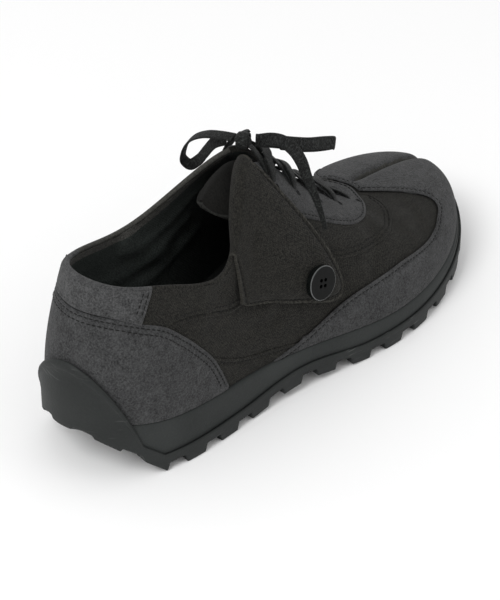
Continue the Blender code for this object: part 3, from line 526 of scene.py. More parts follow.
# A paler horn on the rim's slopes: a painted highlight, as on a polished rim catching light.
HORN_RIM_HIGHLIGHT = make_finish("button_polished_edge", GRAIN, (0.050, 0.054, 0.053), (0.115, 0.120, 0.118), 0.22,
                        (0.1, 0.0004), on_uv=False, specular=0.45, Grain=900.0)
# A darker horn in the dish: painted shade in the button's hollow.
HORN_DISH_SHADE = make_finish("button_dish_painted_shade", GRAIN, (0.0008, 0.0011, 0.0010), (0.0030, 0.0036, 0.0034), 0.40,
                        (0.1, 0.0004), on_uv=False, specular=0.10, Grain=300.0)
THREAD = make_finish("thread", NAP, (0.003, 0.003, 0.0028), (0.010, 0.010, 0.0095), 0.75, (0.3, 0.0004),
                     on_uv=False, Fibres=2500.0)
print("finishes:", [m.name for m in bpy.data.materials if m.users == 0])

# %% [markdown]
# ## Laying cloth on the last
# A cut piece starts as a flat grid, as cloth lies on a table, and each of its points is then moved to its
# place on the last. Solidify gives it thickness. The grid's own u and v are kept in a UV map in metres,
# so the weave follows the piece as it would follow the cloth.

# %% Selecting and editing
def deselect():
    bpy.ops.object.select_all(action="DESELECT")


def pick(active, *others):
    """Selects only these pieces and makes the first one active."""
    deselect()
    for piece in (active, *others):
        piece.select_set(True)
    bpy.context.view_layer.objects.active = active


def join(first, *others):
    """Adds other pieces to the first one."""
    pick(first, *others)
    bpy.ops.object.join()


def edit_all(piece, operator, **values):
    """One mesh operator on all of a piece, in Edit Mode."""
    pick(piece)
    bpy.ops.object.mode_set(mode="EDIT")
    bpy.ops.mesh.select_all(action="SELECT")
    operator(**values)
    bpy.ops.object.mode_set(mode="OBJECT")


def face_outward(piece):
    edit_all(piece, bpy.ops.mesh.normals_make_consistent, inside=False)


# %% Points, modifiers and finishes
SMOOTH_ANGLE = math.radians(50)


def points_of(piece):
    co = np.zeros(len(piece.data.vertices) * 3)
    piece.data.vertices.foreach_get("co", co)
    return co.reshape(-1, 3)


def set_points(piece, points):
    piece.data.vertices.foreach_set("co", np.ascontiguousarray(points, float).ravel())
    piece.data.update()


def face_centres(piece):
    return np.array([face.center for face in piece.data.polygons])


def mesh_piece(name, points, faces):
    """A piece of its own from points and faces."""
    mesh = bpy.data.meshes.new(name)
    mesh.from_pydata(points.tolist(), [], faces)
    piece = bpy.data.objects.new(name, mesh)
    bpy.context.scene.collection.objects.link(piece)
    return piece


def apply_modifier(piece, kind, **values):
    modifier = piece.modifiers.new(kind.lower(), kind)
    for key, value in values.items():
        setattr(modifier, key, value)
    pick(piece)
    bpy.ops.object.modifier_apply(modifier=modifier.name)


def give_finishes(piece, finishes, numbers=None):
    """A piece's materials and, where it has several, the number of each face's own."""
    for material in finishes:
        piece.data.materials.append(material)
    if numbers is not None:
        piece.data.polygons.foreach_set("material_index", np.asarray(numbers, int).tolist())


def finish_piece(piece, nodes=(), finishes=(), smooth=SMOOTH_ANGLE):
    """Smooth shading, materials and the frame's words for a finished piece."""
    give_finishes(piece, finishes)
    pick(piece)
    bpy.ops.object.shade_smooth_by_angle(angle=smooth)
    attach(piece, "root")
    if nodes:
        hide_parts(*nodes)
    print(piece.name, len(piece.data.polygons), "faces")
    return piece


# %% Grid pieces
MERGE_WITHIN = 1e-6


def lay_grid(name, columns, rows, shape, cloth, merge=False):
    """A grid whose point (u, v) goes to shape(u, v), with a UV map from cloth(u, v) in metres."""
    deselect()
    bpy.ops.mesh.primitive_grid_add(x_subdivisions=columns, y_subdivisions=rows, size=1)
    piece = bpy.context.object
    piece.name = name
    piece.data.name = name
    flat = points_of(piece)
    u = np.clip(flat[:, 0] + 0.5, 0, 1)
    v = np.clip(flat[:, 1] + 0.5, 0, 1)
    corners = np.zeros(len(piece.data.loops), int)
    piece.data.loops.foreach_get("vertex_index", corners)
    spread = np.stack(cloth(u, v), axis=1)[corners]
    while piece.data.uv_layers:
        piece.data.uv_layers.remove(piece.data.uv_layers[0])
    layer = piece.data.uv_layers.new(name=CLOTH_UV)
    layer.data.foreach_set("uv", np.ascontiguousarray(spread, float).ravel())
    set_points(piece, shape(u, v))
    if merge:
        edit_all(piece, bpy.ops.mesh.remove_doubles, threshold=MERGE_WITHIN)
    return piece


RIB_SAMPLES = np.linspace(0, ROUND, 129)
RIB_RUNS = plain_surface(RIB_SAMPLES[:, None], np.linspace(0, 1, 13)[None, :])
RIB_LENGTHS = np.linalg.norm(np.diff(RIB_RUNS, axis=1), axis=2).sum(axis=1)
print("longest rib:", round(RIB_LENGTHS.max(), 3), "m")


def rim_lengths(s):
    """Length of the rib at a place, from sole to rim, in metres."""
    return np.interp(np.mod(s, ROUND), RIB_SAMPLES, RIB_LENGTHS)


def rib_length(s, t):
    """About how far up its rib a point is, in metres."""
    return t * rim_lengths(s)


# %% [markdown]
# ## Creases of the canvas
# Canvas creases where the shoe bends at the ball and slackens under the collar. Each crease is a soft
# trough with a low ridge beside it, along a short line given on the last. The lining is loose
# inside and has low folds of its own.

# %% Creases on the last
Seam = namedtuple("Seam", "station t")
Crease = namedtuple("Crease", "places depth width")
CREASES = [
    Crease([Seam(6.35, 0.90), Seam(6.15, 0.74), Seam(5.95, 0.58)], 0.0007, 0.0050),
    Crease([Seam(6.75, 0.62), Seam(6.50, 0.52), Seam(6.20, 0.44)], 0.0005, 0.0042),
    Crease([Seam(5.55, 0.66), Seam(5.25, 0.50), Seam(5.00, 0.38)], 0.0008, 0.0050),
    Crease([Seam(2.75, 0.86), Seam(2.95, 0.68), Seam(3.30, 0.50)], 0.0012, 0.0055),
    Crease([Seam(2.55, 0.60), Seam(2.95, 0.42), Seam(3.45, 0.30)], 0.0010, 0.0050),
    Crease([Seam(9.70, 0.86), Seam(9.90, 0.70), Seam(10.1, 0.54)], 0.0010, 0.0050),
    Crease([Seam(10.5, 0.66), Seam(10.8, 0.50), Seam(11.1, 0.38)], 0.0008, 0.0050),
    Crease([Seam(13.2, 0.86), Seam(13.0, 0.66), Seam(12.7, 0.48)], 0.0012, 0.0055),
]
CREASE_STEP = 0.001
SWELL_SHARE = 0.35
SWELL_AWAY = 2
STEPS_PER_PLACE = 40
print(len(CREASES), "creases")


def line_on_last(places):
    """Points on the last along a line given by stations and shares, at even steps."""
    rough = np.linspace(0, len(places) - 1, STEPS_PER_PLACE * len(places))
    numbers = np.arange(len(places))
    station = smooth_line(numbers, [p.station for p in places])(rough)
    t = smooth_line(numbers, [p.t for p in places])(rough)
    run = run_lengths(surface(at_station(station), t))
    even = np.arange(0, run[-1], CREASE_STEP)
    return surface(at_station(np.interp(even, run, station)), np.clip(np.interp(even, run, t), 0, 1))


def near(points, line):
    """Each point's distance to a line of close points."""
    tree = KDTree(len(line))
    for i, place in enumerate(line):
        tree.insert(place, i)
    tree.balance()
    return np.array([tree.find(point)[2] for point in points])


def canvas_relief(points):
    """How far the canvas stands off the last: creases pressed in, with a swell beside each."""
    relief = np.zeros(len(points))
    for crease in CREASES:
        gap = near(points, line_on_last(crease.places))
        relief -= crease.depth * bell(gap, crease.width)
        relief += SWELL_SHARE * crease.depth * bell(gap - SWELL_AWAY * crease.width, crease.width)
    return relief


# %% The canvas upper
UPPER_GRID = (480, 72)
FACING_SHARE = 0.915
FACING_END = 4.05
UPPER_FINISHES = [CANVAS, LINING, COLLAR_FACING]
LINING_FOLDS = [
    Crease([Seam(14.7, 0.60), Seam(13.6, 0.52), Seam(12.3, 0.58)], 0.0012, 0.0045),
    Crease([Seam(14.3, 0.38), Seam(13.3, 0.34), Seam(12.1, 0.42)], 0.0013, 0.0045),
    Crease([Seam(13.3, 0.78), Seam(12.7, 0.70), Seam(12.0, 0.76)], 0.0010, 0.0040),
]


def upper_shape(u, v):
    s = u * ROUND
    points = surface(s, v)
    return points + normals(surface, s, v) * canvas_relief(points)[:, None]


def upper_cloth(u, v):
    return u * ROUND, rib_length(u * ROUND, v)


def fold_lining(piece):
    """The lining is loose inside: low folds stand off the wall between heel and instep."""
    outer, inner = np.split(points_of(piece), 2)
    loose = np.zeros(len(outer))
    for fold in LINING_FOLDS:
        loose += fold.depth * bell(near(outer, line_on_last(fold.places)), fold.width)
    set_points(piece, np.concatenate([outer, inner + unit(inner - outer) * loose[:, None]]))


def face_collar(piece):
    """Inner faces near the collar's rim are facing cloth and not lining."""
    lining, facing = UPPER_FINISHES.index(LINING), UPPER_FINISHES.index(COLLAR_FACING)
    cloth = np.zeros(len(piece.data.loops) * 2)
    piece.data.uv_layers[CLOTH_UV].data.foreach_get("uv", cloth)
    cloth = cloth.reshape(-1, 2)
    for face in piece.data.polygons:
        s, height = cloth[list(face.loop_indices)].mean(axis=0)
        station = np.interp(s, KNOTS, np.arange(STATIONS + 1))
        from_back = min(station, STATIONS - station)
        share = height / rim_lengths(s)
        if face.material_index == lining and share > FACING_SHARE and from_back < FACING_END:
            face.material_index = facing


upper = lay_grid("canvas_upper", *UPPER_GRID, upper_shape, upper_cloth, merge=True)
give_finishes(upper, UPPER_FINISHES)
apply_modifier(upper, "SOLIDIFY", thickness=WALL, offset=-1, material_offset=1, material_offset_rim=0)
fold_lining(upper)
face_collar(upper)
finish_piece(upper, ["upper"])

# %% [markdown]
# ## Suede pieces
# Counter, back tab, toe cap and eyestay are cut from suede and sewn over the canvas. Their edges are raw,
# so they round over a little, and the stitching pulls a shallow trough just inside each edge. The grid's
# lines crowd towards the edges, where the shape changes fast, and round the cleft between the toes.

# %% Suede panels
Edge = namedtuple("Edge", "station share")
COUNTER_TOP = [
    Edge(-2.66, 0.0), Edge(-2.48, 0.28), Edge(-2.21, 0.49), Edge(-1.86, 0.655), Edge(-1.32, 0.75),
    Edge(0.0, 0.775), Edge(1.32, 0.75), Edge(1.86, 0.655), Edge(2.21, 0.49), Edge(2.48, 0.28),
    Edge(2.66, 0.0)]
TOE_CAP_TOP = [
    Edge(3.32, 0.0), Edge(3.71, 0.06), Edge(4.39, 0.21), Edge(5.33, 0.325), Edge(6.14, 0.32),
    Edge(6.52, 0.355), Edge(7.06, 0.49), Edge(7.24, 0.66), Edge(7.44, 0.855), Edge(8.0, 0.90),
    Edge(8.7, 0.875), Edge(9.25, 0.80), Edge(9.55, 0.55), Edge(9.86, 0.37), Edge(10.67, 0.325),
    Edge(11.61, 0.21), Edge(12.29, 0.06), Edge(12.68, 0.0)]
EYESTAY_LOW = [
    Edge(4.12, 0.72), Edge(4.86, 0.695), Edge(5.32, 0.685), Edge(5.65, 0.715), Edge(6.06, 0.78),
    Edge(6.95, 0.89), Edge(8.0, 0.918), Edge(9.05, 0.89), Edge(9.94, 0.78), Edge(10.35, 0.715),
    Edge(10.68, 0.685), Edge(11.14, 0.695), Edge(11.88, 0.72)]
TAB_END = 1.50
TAB_END_LOW = 1.36
TAB_END_HIGH = 1.62
CLEFT_SHADE_SHARE = 0.80
TAB_SEAM = 0.004
CAP_SEAM = 0.016
PANEL_LIFT = 0.0006
EDGE_ROUND = 0.0013
EDGE_DROP = 0.9
STITCH_INSET = 0.0023
TROUGH_DEPTH = 0.0004
TROUGH_WIDTH = 0.0007
CROWDING = 0.85
CLEFT_SPAN = 0.008
CLEFT_CLEAR = 0.0082
CLEFT_LINES = 45
EDGE_SAMPLES = 6000
END_SAMPLES = 600
RIM_ROLL = 0.0028
RIM_SINK = -0.0003


# %% Edges and grid lines of a panel
def edge_line(edges):
    return smooth_line([e.station for e in edges], [e.share for e in edges])


def crowd(x):
    """Places from 0 to 1 that crowd towards both ends."""
    return x - CROWDING * np.sin(2 * math.pi * x) / (2 * math.pi)


def panel_places(first, last, columns):
    """Distances round the edge of a panel's grid lines, crowded at its ends and round the cleft."""
    s = at_station(first) + (at_station(last) - at_station(first)) * crowd(np.linspace(0, 1, columns))
    if first < CLEFT_STATION < last:
        cleft = at_station(CLEFT_STATION)
        close = cleft + np.linspace(-CLEFT_SPAN, CLEFT_SPAN, CLEFT_LINES)
        s = np.sort(np.concatenate([s[np.abs(s - cleft) > CLEFT_CLEAR], close]))
    return s


def station_of(s):
    turns = np.floor(s / ROUND)
    return np.interp(s - turns * ROUND, KNOTS, np.arange(STATIONS + 1)) + turns * STATIONS


# %% A sewn panel
def sewn_panel(name, first, last, low, high, grid, free, base=PANEL_LIFT, thick=SUEDE, lean=None,
               relief=None):
    """A piece sewn on between two lines; free names the edges that show, lean slants the ends."""
    columns, rows = grid
    places = panel_places(first, last, columns)
    stations = station_of(places)
    fine = station_of(at_station(np.linspace(first, last, EDGE_SAMPLES)))
    leaning = lean or (lambda t: np.ones_like(t))
    edges = []
    for word, line in (("low", low), ("high", high)):
        if word in free:
            t = line(fine)
            edges.append(surface(at_station(fine * leaning(t)), t))
    if "ends" in free:
        for end in (first, last):
            t = np.linspace(float(low(np.array(end))), float(high(np.array(end))), END_SAMPLES)
            edges.append(surface(at_station(end * leaning(t)), t))
    edge = np.concatenate(edges)

    def where(u, v):
        i = np.rint(u * (len(places) - 1)).astype(int)
        bottom, top = low(stations[i]), high(stations[i])
        t = bottom + (top - bottom) * crowd(v)
        return (at_station(stations[i] * leaning(t)) if lean else places[i]), t

    def shape(u, v):
        s, t = where(u, v)
        points = surface(s, t)
        inset = near(points, edge)
        drop = 1 - np.clip(inset / EDGE_ROUND, 0, 1)
        lift = base + thick * np.sqrt(1 - EDGE_DROP * drop ** 2)
        lift = lift - TROUGH_DEPTH * bell(inset - STITCH_INSET, TROUGH_WIDTH)
        if "rim" in free:
            turn = 1 - np.clip(rim_lengths(s) * (1 - t) / RIM_ROLL, 0, 1)
            lift = (lift + RIM_SINK) * np.sqrt(1 - turn ** 2) - RIM_SINK
        if relief:
            lift = lift + relief(points)
        return points + normals(surface, s, t) * lift[:, None]

    def cloth(u, v):
        s, t = where(u, v)
        return s, rib_length(s, t)

    panel = lay_grid(name, len(places) - 1, rows, shape, cloth)
    apply_modifier(panel, "SOLIDIFY", thickness=thick, offset=-1)
    return panel


def level(share):
    return lambda stations: np.full(np.shape(stations), share)


# %% Counter, back tab and toe cap
TAB_FOOT_SHARE = 0.77
counter_top = edge_line(COUNTER_TOP)
stay_low = edge_line(EYESTAY_LOW)
cap_line = edge_line(TOE_CAP_TOP)


def cap_top(stations):
    return np.minimum(cap_line(stations), stay_low(stations) - CAP_SEAM)


def tab_low(stations):
    return counter_top(stations) + TAB_SEAM


def tab_lean(t):
    """The back tab's ends slant: they reach further forward at the rim than at the counter."""
    up_tab = (t - TAB_FOOT_SHARE) / (1 - TAB_FOOT_SHARE)
    return (TAB_END_LOW + (TAB_END_HIGH - TAB_END_LOW) * up_tab) / TAB_END


counter = sewn_panel("suede_counter", -2.63, 2.63, level(0.0), counter_top, (300, 70), ["high"])
finish_piece(counter, ["heel_counter"], finishes=[SUEDE_NAP])
# The back tab takes the lighter suede, painted light.
back_tab = sewn_panel("suede_back_tab", -TAB_END, TAB_END, tab_low, level(1.0), (150, 44),
                      ["low", "ends", "rim"], lean=tab_lean)
finish_piece(back_tab, ["back_tab"], finishes=[SUEDE_TAB_LIT])
toe_cap = sewn_panel("suede_toe_cap", 3.35, 12.65, level(0.0), cap_top, (400, 76), ["high"])
# Faces along the cleft's bottom take the facing cloth: painted shade in the groove between the toes.
give_finishes(toe_cap, [SUEDE_NAP, FACING], cleft_share(face_centres(toe_cap)) > CLEFT_SHADE_SHARE)
finish_piece(toe_cap, ["toe_cap"])

# %% [markdown]
# ## Lapped canvas
# The quarters are second pieces of canvas that lap over the vamp: their lower edge is the curved seam
# that shows on the side. A low strip laps the canvas again between counter and toe cap. They follow the
# same creases as the canvas under them.

# %% Quarters and low strips
QUARTER_LOW = [
    Edge(1.30, 0.640), Edge(1.66, 0.662), Edge(1.98, 0.68), Edge(2.37, 0.695), Edge(3.04, 0.60),
    Edge(3.80, 0.53), Edge(4.54, 0.455), Edge(5.27, 0.505), Edge(5.77, 0.555), Edge(6.08, 0.615),
    Edge(6.64, 0.73), Edge(7.00, 0.80), Edge(7.26, 0.85), Edge(7.45, 0.90)]
STRIP_TOP = [
    Edge(2.42, 0.345), Edge(2.53, 0.31), Edge(2.85, 0.215), Edge(3.21, 0.13), Edge(3.55, 0.07),
    Edge(3.75, 0.035)]
LAP_LIFT = 0.0001
LAP = 0.0007
LAP_RIM = 0.999
QUARTER_GRID = (260, 60)
STRIP_GRID = (70, 30)
quarter_low = edge_line(QUARTER_LOW)
strip_top = edge_line(STRIP_TOP)
rim_line = level(LAP_RIM)


def mirrored(line):
    return lambda stations: line(STATIONS - stations)


def lapped(name, first, last, low, high, grid, free):
    panel = sewn_panel(name, first, last, low, high, grid, free, LAP_LIFT, LAP, relief=canvas_relief)
    return finish_piece(panel, finishes=[CANVAS])


quarter_outer = lapped("quarter_outer", 1.32, 7.44, quarter_low, rim_line, QUARTER_GRID, ["low"])
quarter_inner = lapped("quarter_inner", 8.56, 14.68, mirrored(quarter_low), rim_line, QUARTER_GRID, ["low"])
strip_outer = lapped("strip_outer", 2.43, 3.74, level(0.0), strip_top, STRIP_GRID, ["high"])
lapped("strip_inner", 12.26, 13.57, level(0.0), mirrored(strip_top), STRIP_GRID, ["high"])

# %% [markdown]
# ## Eyestay with punched holes
# The eyestay is a suede horseshoe round the throat. Its holes are punched, with no metal ring, so a pin
# cuts each one out of the laid piece. The same stations serve the lace, which has to go down through
# these holes.

# %% Eyestay
EYELET_STATIONS = [6.45, 5.62, 5.12, 4.73, 4.38]
EYELET_DROP = 0.13
EYELET_HOLE = 0.0036
PIN_LONG = 0.008
PIN_CORNERS = 20
eyestay = sewn_panel("suede_eyestay", 4.12, 11.88, stay_low, level(1.0), (300, 40), ["low", "high", "ends"])


def eyelet_axes(station):
    """Centre and axes of one eyelet: across the hole twice, then out of it."""
    s, t = np.array(at_station(station)), np.array(1 - EYELET_DROP)
    facing = normals(surface, s, t)
    side = unit(surface(s + EYELET_HOLE, t) - surface(s - EYELET_HOLE, t))
    return surface(s, t), np.stack([side, np.cross(facing, side), facing])


def make_pin(diameter, depth):
    deselect()
    bpy.ops.mesh.primitive_cylinder_add(vertices=PIN_CORNERS, radius=diameter / 2, depth=depth)
    return bpy.context.object


def punch(piece, pin):
    """Cuts a pin out of a piece and removes the pin."""
    apply_modifier(piece, "BOOLEAN", object=pin, operation="DIFFERENCE", solver="EXACT")
    bpy.data.objects.remove(pin)


pins = []
for station in EYELET_STATIONS:
    for number in (station, STATIONS - station):
        middle, axes = eyelet_axes(number)
        pin = make_pin(EYELET_HOLE, PIN_LONG)
        set_points(pin, points_of(pin) @ axes + middle)
        pins.append(pin)
join(*pins)
punch(eyestay, pins[0])
finish_piece(eyestay, ["eyestay"], finishes=[SUEDE_NAP])

# %% [markdown]
# ## Sole
# The outsole is one rubber moulding: a tray with heavy lugs along its side, lifted at the toe, and drawn
# up the back of the heel in a rounded arch. The foam midsole sits in it. Both are closed rings of points
# round the same edge as the upper, with the rings close together wherever an edge is rounded.

# %% Sole heights
TOE_SPRING = 0.015
TOE_SPRING_START = 0.66
HEEL_KICK = 0.028
HEEL_KICK_END = 0.106
ARCH_LIFT = 0.0045
ARCH_MIDDLE = 0.42
ARCH_HALF = 0.15
OUTSOLE_DEPTH = 0.0100
OUTSOLE_FLOOR = 0.0078
HEEL_WEDGE = 0.0020
LUG_DEPTH = 0.0045
HEEL_LUG_DEPTH = 0.0016
HEEL_LUG_END = 0.14
LUG_COUNT = 30
LUG_SHARE = 0.62
LUG_DRAFT = 0.0012
LUG_REACH = 0.022
RIM = 0.0014
WRAP_HEIGHT = 0.065
WRAP_MIDDLE = 0.003
WRAP_HALF_WIDTH = 0.0355
WRAP_POWER = 1.7
WRAP_CLEAR = 0.0028
WRAP_BEAD = 0.0006


def bottom_height(along):
    """Height of the tread above the floor: flat at heel and ball, lifted at toe, arch and heel's back."""
    toe = np.clip((along / LENGTH - TOE_SPRING_START) / (1 - TOE_SPRING_START), 0, 1)
    heel = np.clip(1 - along / LENGTH / HEEL_KICK_END, 0, 1)
    arch = np.clip(1 - np.abs(along / LENGTH - ARCH_MIDDLE) / ARCH_HALF, 0, 1)
    return TOE_SPRING * toe ** 2 + HEEL_KICK * heel + ARCH_LIFT * smooth_step(arch)


def tray_floor(along):
    return np.minimum(bottom_height(along) + OUTSOLE_FLOOR, feather_height(along) - HEEL_WEDGE)


print("tread lifted at heel and toe:", np.round(bottom_height(np.array([0, LENGTH])), 4))


# %% Pieces from rings
def ring_piece(name, rings):
    """A closed piece from rings of points, with the first and last ring filled across."""
    count = len(rings[0])
    half = count // 2
    i = np.arange(count)
    j = (i + 1) % count
    faces = []
    for r in range(len(rings) - 1):
        a, b = r * count, (r + 1) * count
        faces += np.stack([a + i, a + j, b + j, b + i], axis=1).tolist()
    for first in (0, (len(rings) - 1) * count):
        last = first + count
        faces.append((first, first + 1, last - 1))
        faces += [(first + k, first + k + 1, last - k - 1, last - k) for k in range(1, half - 1)]
        faces.append((first + half - 1, first + half, first + half + 1))
    piece = mesh_piece(name, np.concatenate(rings), faces)
    face_outward(piece)
    return piece


def even_places(count):
    return np.arange(count) * ROUND / count


# %% Midsole
MIDSOLE_STEPS = 400
MIDSOLE_PROFILE = [(0.0, 0.0), (0.12, 0.0002), (0.3, 0.0004), (0.5, 0.0004), (0.68, 0.0002)]
MIDSOLE_LIP = [(0.0024, 0.0), (0.0012, -0.0003), (0.0005, -0.0008), (0.0001, -0.0015), (0.0, -0.0022)]


def make_midsole():
    s = even_places(MIDSOLE_STEPS)
    along = ribs_at(s)[:, 0]
    floor = tray_floor(along) + GAP
    top = feather_height(along)
    rings = [edge_point(s, floor + (top - floor) * share, reach) for share, reach in MIDSOLE_PROFILE]
    rings += [edge_point(s, top - below, reach) for below, reach in MIDSOLE_LIP]
    return ring_piece("foam_midsole", rings)


finish_piece(make_midsole(), ["midsole"], finishes=[FOAM])

# %% Places round the outsole
LUG_MARKS = [0.0, 0.0003, 0.0006, 0.0009, 0.0012, 0.0015, 0.0019, 0.0026]
LUG_MIDDLE_STEPS = 9
LUG_GAP_STEPS = 7
LUG_EASE = 1.4
WALL_SAMPLES = np.linspace(0, 0.6, 61)
WALL_BLEND = 0.004


def lug_places():
    """Distances round the edge with the tread's depth there: 1 on a lug and 0 between two."""
    pitch = ROUND / LUG_COUNT
    lug = LUG_SHARE * pitch
    marks = np.array(LUG_MARKS)
    inner = np.linspace(marks[-1], lug - marks[-1], LUG_MIDDLE_STEPS)[1:-1]
    gap = np.linspace(lug, pitch, LUG_GAP_STEPS)[1:-1]
    within = np.concatenate([marks, inner, lug - marks[::-1], gap])
    deep = smooth_step(np.minimum(within, lug - within) / (LUG_DRAFT * LUG_EASE))
    deep = np.where(within > lug, 0, deep)
    starts = np.arange(LUG_COUNT)[:, None] * pitch - lug / 2
    s = (starts + within[None, :]).ravel()
    middle = int(np.argmin(np.abs(s)))
    order = np.roll(np.arange(len(s)), -middle)
    return np.mod(s[order] - s[middle], ROUND), np.tile(deep, LUG_COUNT)[order]


def wrap_share(s):
    """How far the outsole climbs the heel: 1 at the arch's middle, 0 round the corners."""
    from_middle = np.abs(np.mod(s - WRAP_MIDDLE + ROUND / 2, ROUND) - ROUND / 2)
    return 1 - np.clip(from_middle / WRAP_HALF_WIDTH, 0, 1) ** WRAP_POWER


def wall_point(s, height, reach):
    """A point reach outside the midsole's side, or outside the counter where it is higher."""
    top = feather_height(ribs_at(s)[:, 0])
    beside = edge_point(s, height, reach)
    ribs = plain_surface(s[:, None], WALL_SAMPLES[None, :])
    share = np.array([np.interp(h, rib[:, 2], WALL_SAMPLES) for h, rib in zip(height, ribs)])
    clear = np.broadcast_to(reach, s.shape) + WRAP_CLEAR
    on_counter = plain_surface(s, share) + outward(s) * clear[:, None]
    mix = smooth_step((height - top) / WALL_BLEND + 0.5)[:, None]
    return beside * (1 - mix) + on_counter * mix


def tread_point(s, reach, deep):
    """A point under the sole: on a lug where deep is 1, between two where it is 0."""
    points = edge_point(s, 0.0, reach)
    along = points[:, 0] + MIDDLE[0]
    depth = HEEL_LUG_DEPTH + (LUG_DEPTH - HEEL_LUG_DEPTH) * smooth_step(along / LENGTH / HEEL_LUG_END)
    points[:, 2] = bottom_height(along) + depth * (1 - deep)
    return points


# %% Outsole
RIM_OUT = GAP + RIM
SIDE_FOOT = 0.0052
SIDE_HEAD = 0.0045
BEAD_START = 4
TRAY_SHARES = (0.4, 0.7, 0.9)
RIM_EDGE = ((0.0004, GAP), (0.0, GAP + 0.0004), (0.0, RIM_OUT - 0.0004), (0.0003, RIM_OUT - 0.0001))
BEAD_EDGE = ((0.0010, 0.7), (0.0020, 1.0), (0.0032, 0.8), (0.0042, 0.25))
SIDE_SHARES = (0.12, 0.25, 0.4, 0.55, 0.7, 0.85, 1.0)
FOOT_EDGE = ((0.0008, 0.0), (0.0003, 0.0002), (0.0, 0.0008))
TREAD_INSETS = (0.004, 0.010, 0.016, LUG_REACH)


def make_outsole():
    """Rings from the tray's floor up inside its wall, over the rim, down the side and under the lugs."""
    s, deep = lug_places()
    along = ribs_at(s)[:, 0]
    base = bottom_height(along)
    floor = tray_floor(along)
    line = np.maximum(base, floor - OUTSOLE_FLOOR) + OUTSOLE_DEPTH
    rim = line + (WRAP_HEIGHT - line) * wrap_share(s)
    low = base + SIDE_FOOT
    bead = WRAP_BEAD * smooth_step(wrap_share(s) * BEAD_START)
    foot = tread_point(s, RIM_OUT, deep)[:, 2]
    rings = [edge_point(s, floor, GAP)]
    rings += [wall_point(s, floor + (rim - floor) * share, GAP) for share in TRAY_SHARES]
    rings += [wall_point(s, rim - below, reach) for below, reach in RIM_EDGE]
    for below, share in BEAD_EDGE:
        rings.append(wall_point(s, np.maximum(rim - below, low), RIM_OUT + bead * share))
    head = np.maximum(rim - SIDE_HEAD, low)
    rings += [wall_point(s, np.minimum(rim + (low - rim) * share, head), RIM_OUT) for share in SIDE_SHARES]
    rings += [edge_point(s, foot + raised, RIM_OUT - inset) for raised, inset in FOOT_EDGE]
    rings += [tread_point(s, -inset, deep) for inset in TREAD_INSETS]
    rings.append(tread_point(s, -LUG_REACH - LUG_DRAFT, np.zeros_like(s)))
    return ring_piece("rubber_outsole", rings)


finish_piece(make_outsole(), ["outsole"], finishes=[RUBBER])

# %% Footbed
INSOLE = 0.0040
INSOLE_STEPS = 240
INSOLE_INSET = 0.0078
INSOLE_TOE_INSET = 0.0145
INSOLE_TOE_START = 0.85
INSOLE_TOE_RUN = 0.12
INSOLE_PROFILE = ((0.0, 0.0), (INSOLE - 0.001, 0.0), (INSOLE - 0.0003, 0.0003), (INSOLE, 0.0010))
FOOTBED = make_finish("footbed_cloth", WEAVE, (0.005, 0.006, 0.006), (0.014, 0.015, 0.014), 0.9,
                      (0.4, 0.0005), on_uv=False, Threads=1100.0)


def make_insole():
    s = even_places(INSOLE_STEPS)
    along = ribs_at(s)[:, 0]
    at_toe = smooth_step((along / LENGTH - INSOLE_TOE_START) / INSOLE_TOE_RUN)
    inset = INSOLE_INSET + (INSOLE_TOE_INSET - INSOLE_INSET) * at_toe
    base = feather_height(along) + GAP
    rings = [edge_point(s, base + high, -inset - inner) for high, inner in INSOLE_PROFILE]
    return ring_piece("footbed", rings)


finish_piece(make_insole(), ["insole"], finishes=[FOOTBED])

# %% [markdown]
# ## Tongue
# The tongue is a soft doubled sheet under the lace. It is an arch between the two sides of the throat,
# and its rear edge is bound with tape. The same arch carries the lace higher up.

# %% Over the throat
BELOW_RIM = 0.97
ARCH_PULL = 0.36


def throat_arch(station, across, lift):
    """A point over the throat: across runs from the outer rim, -1, to the inner one, 1, and on down them."""
    station, across = np.broadcast_arrays(np.asarray(station, float), np.asarray(across, float))
    lift = np.broadcast_to(lift, station.shape)
    ends = []
    slopes = []
    for number in (station, STATIONS - station):
        s = at_station(number)
        ends.append(offset_surface(s, np.ones_like(s), lift))
        slopes.append(unit(surface(s, np.ones_like(s)) - surface(s, np.full(s.shape, BELOW_RIM))))
    span = np.linalg.norm(ends[1] - ends[0], axis=-1, keepdims=True)
    u = np.clip((across + 1) / 2, 0, 1)[..., None]
    v = 1 - u
    bridge = v ** 3 * ends[0] + 3 * v ** 2 * u * (ends[0] + slopes[0] * span * ARCH_PULL)
    bridge = bridge + 3 * v * u ** 2 * (ends[1] + slopes[1] * span * ARCH_PULL) + u ** 3 * ends[1]
    past = np.maximum(np.abs(across) - 1, 0)
    number = np.where(across < 0, station, STATIONS - station)
    wall = offset_surface(at_station(number), 1 - past, lift)
    return np.where((past > 0)[..., None], wall, bridge)


# %% Tongue
TONGUE_CLOTH = make_finish("tongue_cloth", WEAVE, (0.0030, 0.0030, 0.0026), (0.0095, 0.0092, 0.0080), 0.9,
                           (0.45, 0.0006), Threads=1300.0)
TONGUE_GRID = (96, 110)
TONGUE_WIDE = 0.095
TONGUE_LONG = 0.12
TONGUE_FRONT = 6.6
TONGUE_BACK = 4.10
TONGUE = 0.0026
TONGUE_DEPTH = 0.0042
TONGUE_LIFT = -WALL - TONGUE_DEPTH
TONGUE_SIDE = 1.22
TONGUE_OVERHANG = 0.025
TONGUE_RISE = 0.0030
TONGUE_DROOP = 0.0090
TONGUE_CROWN = 0.0080
TONGUE_CROWN_END = 0.5
TONGUE_ROUND = 0.995
OVERHANG_FROM = 0.72


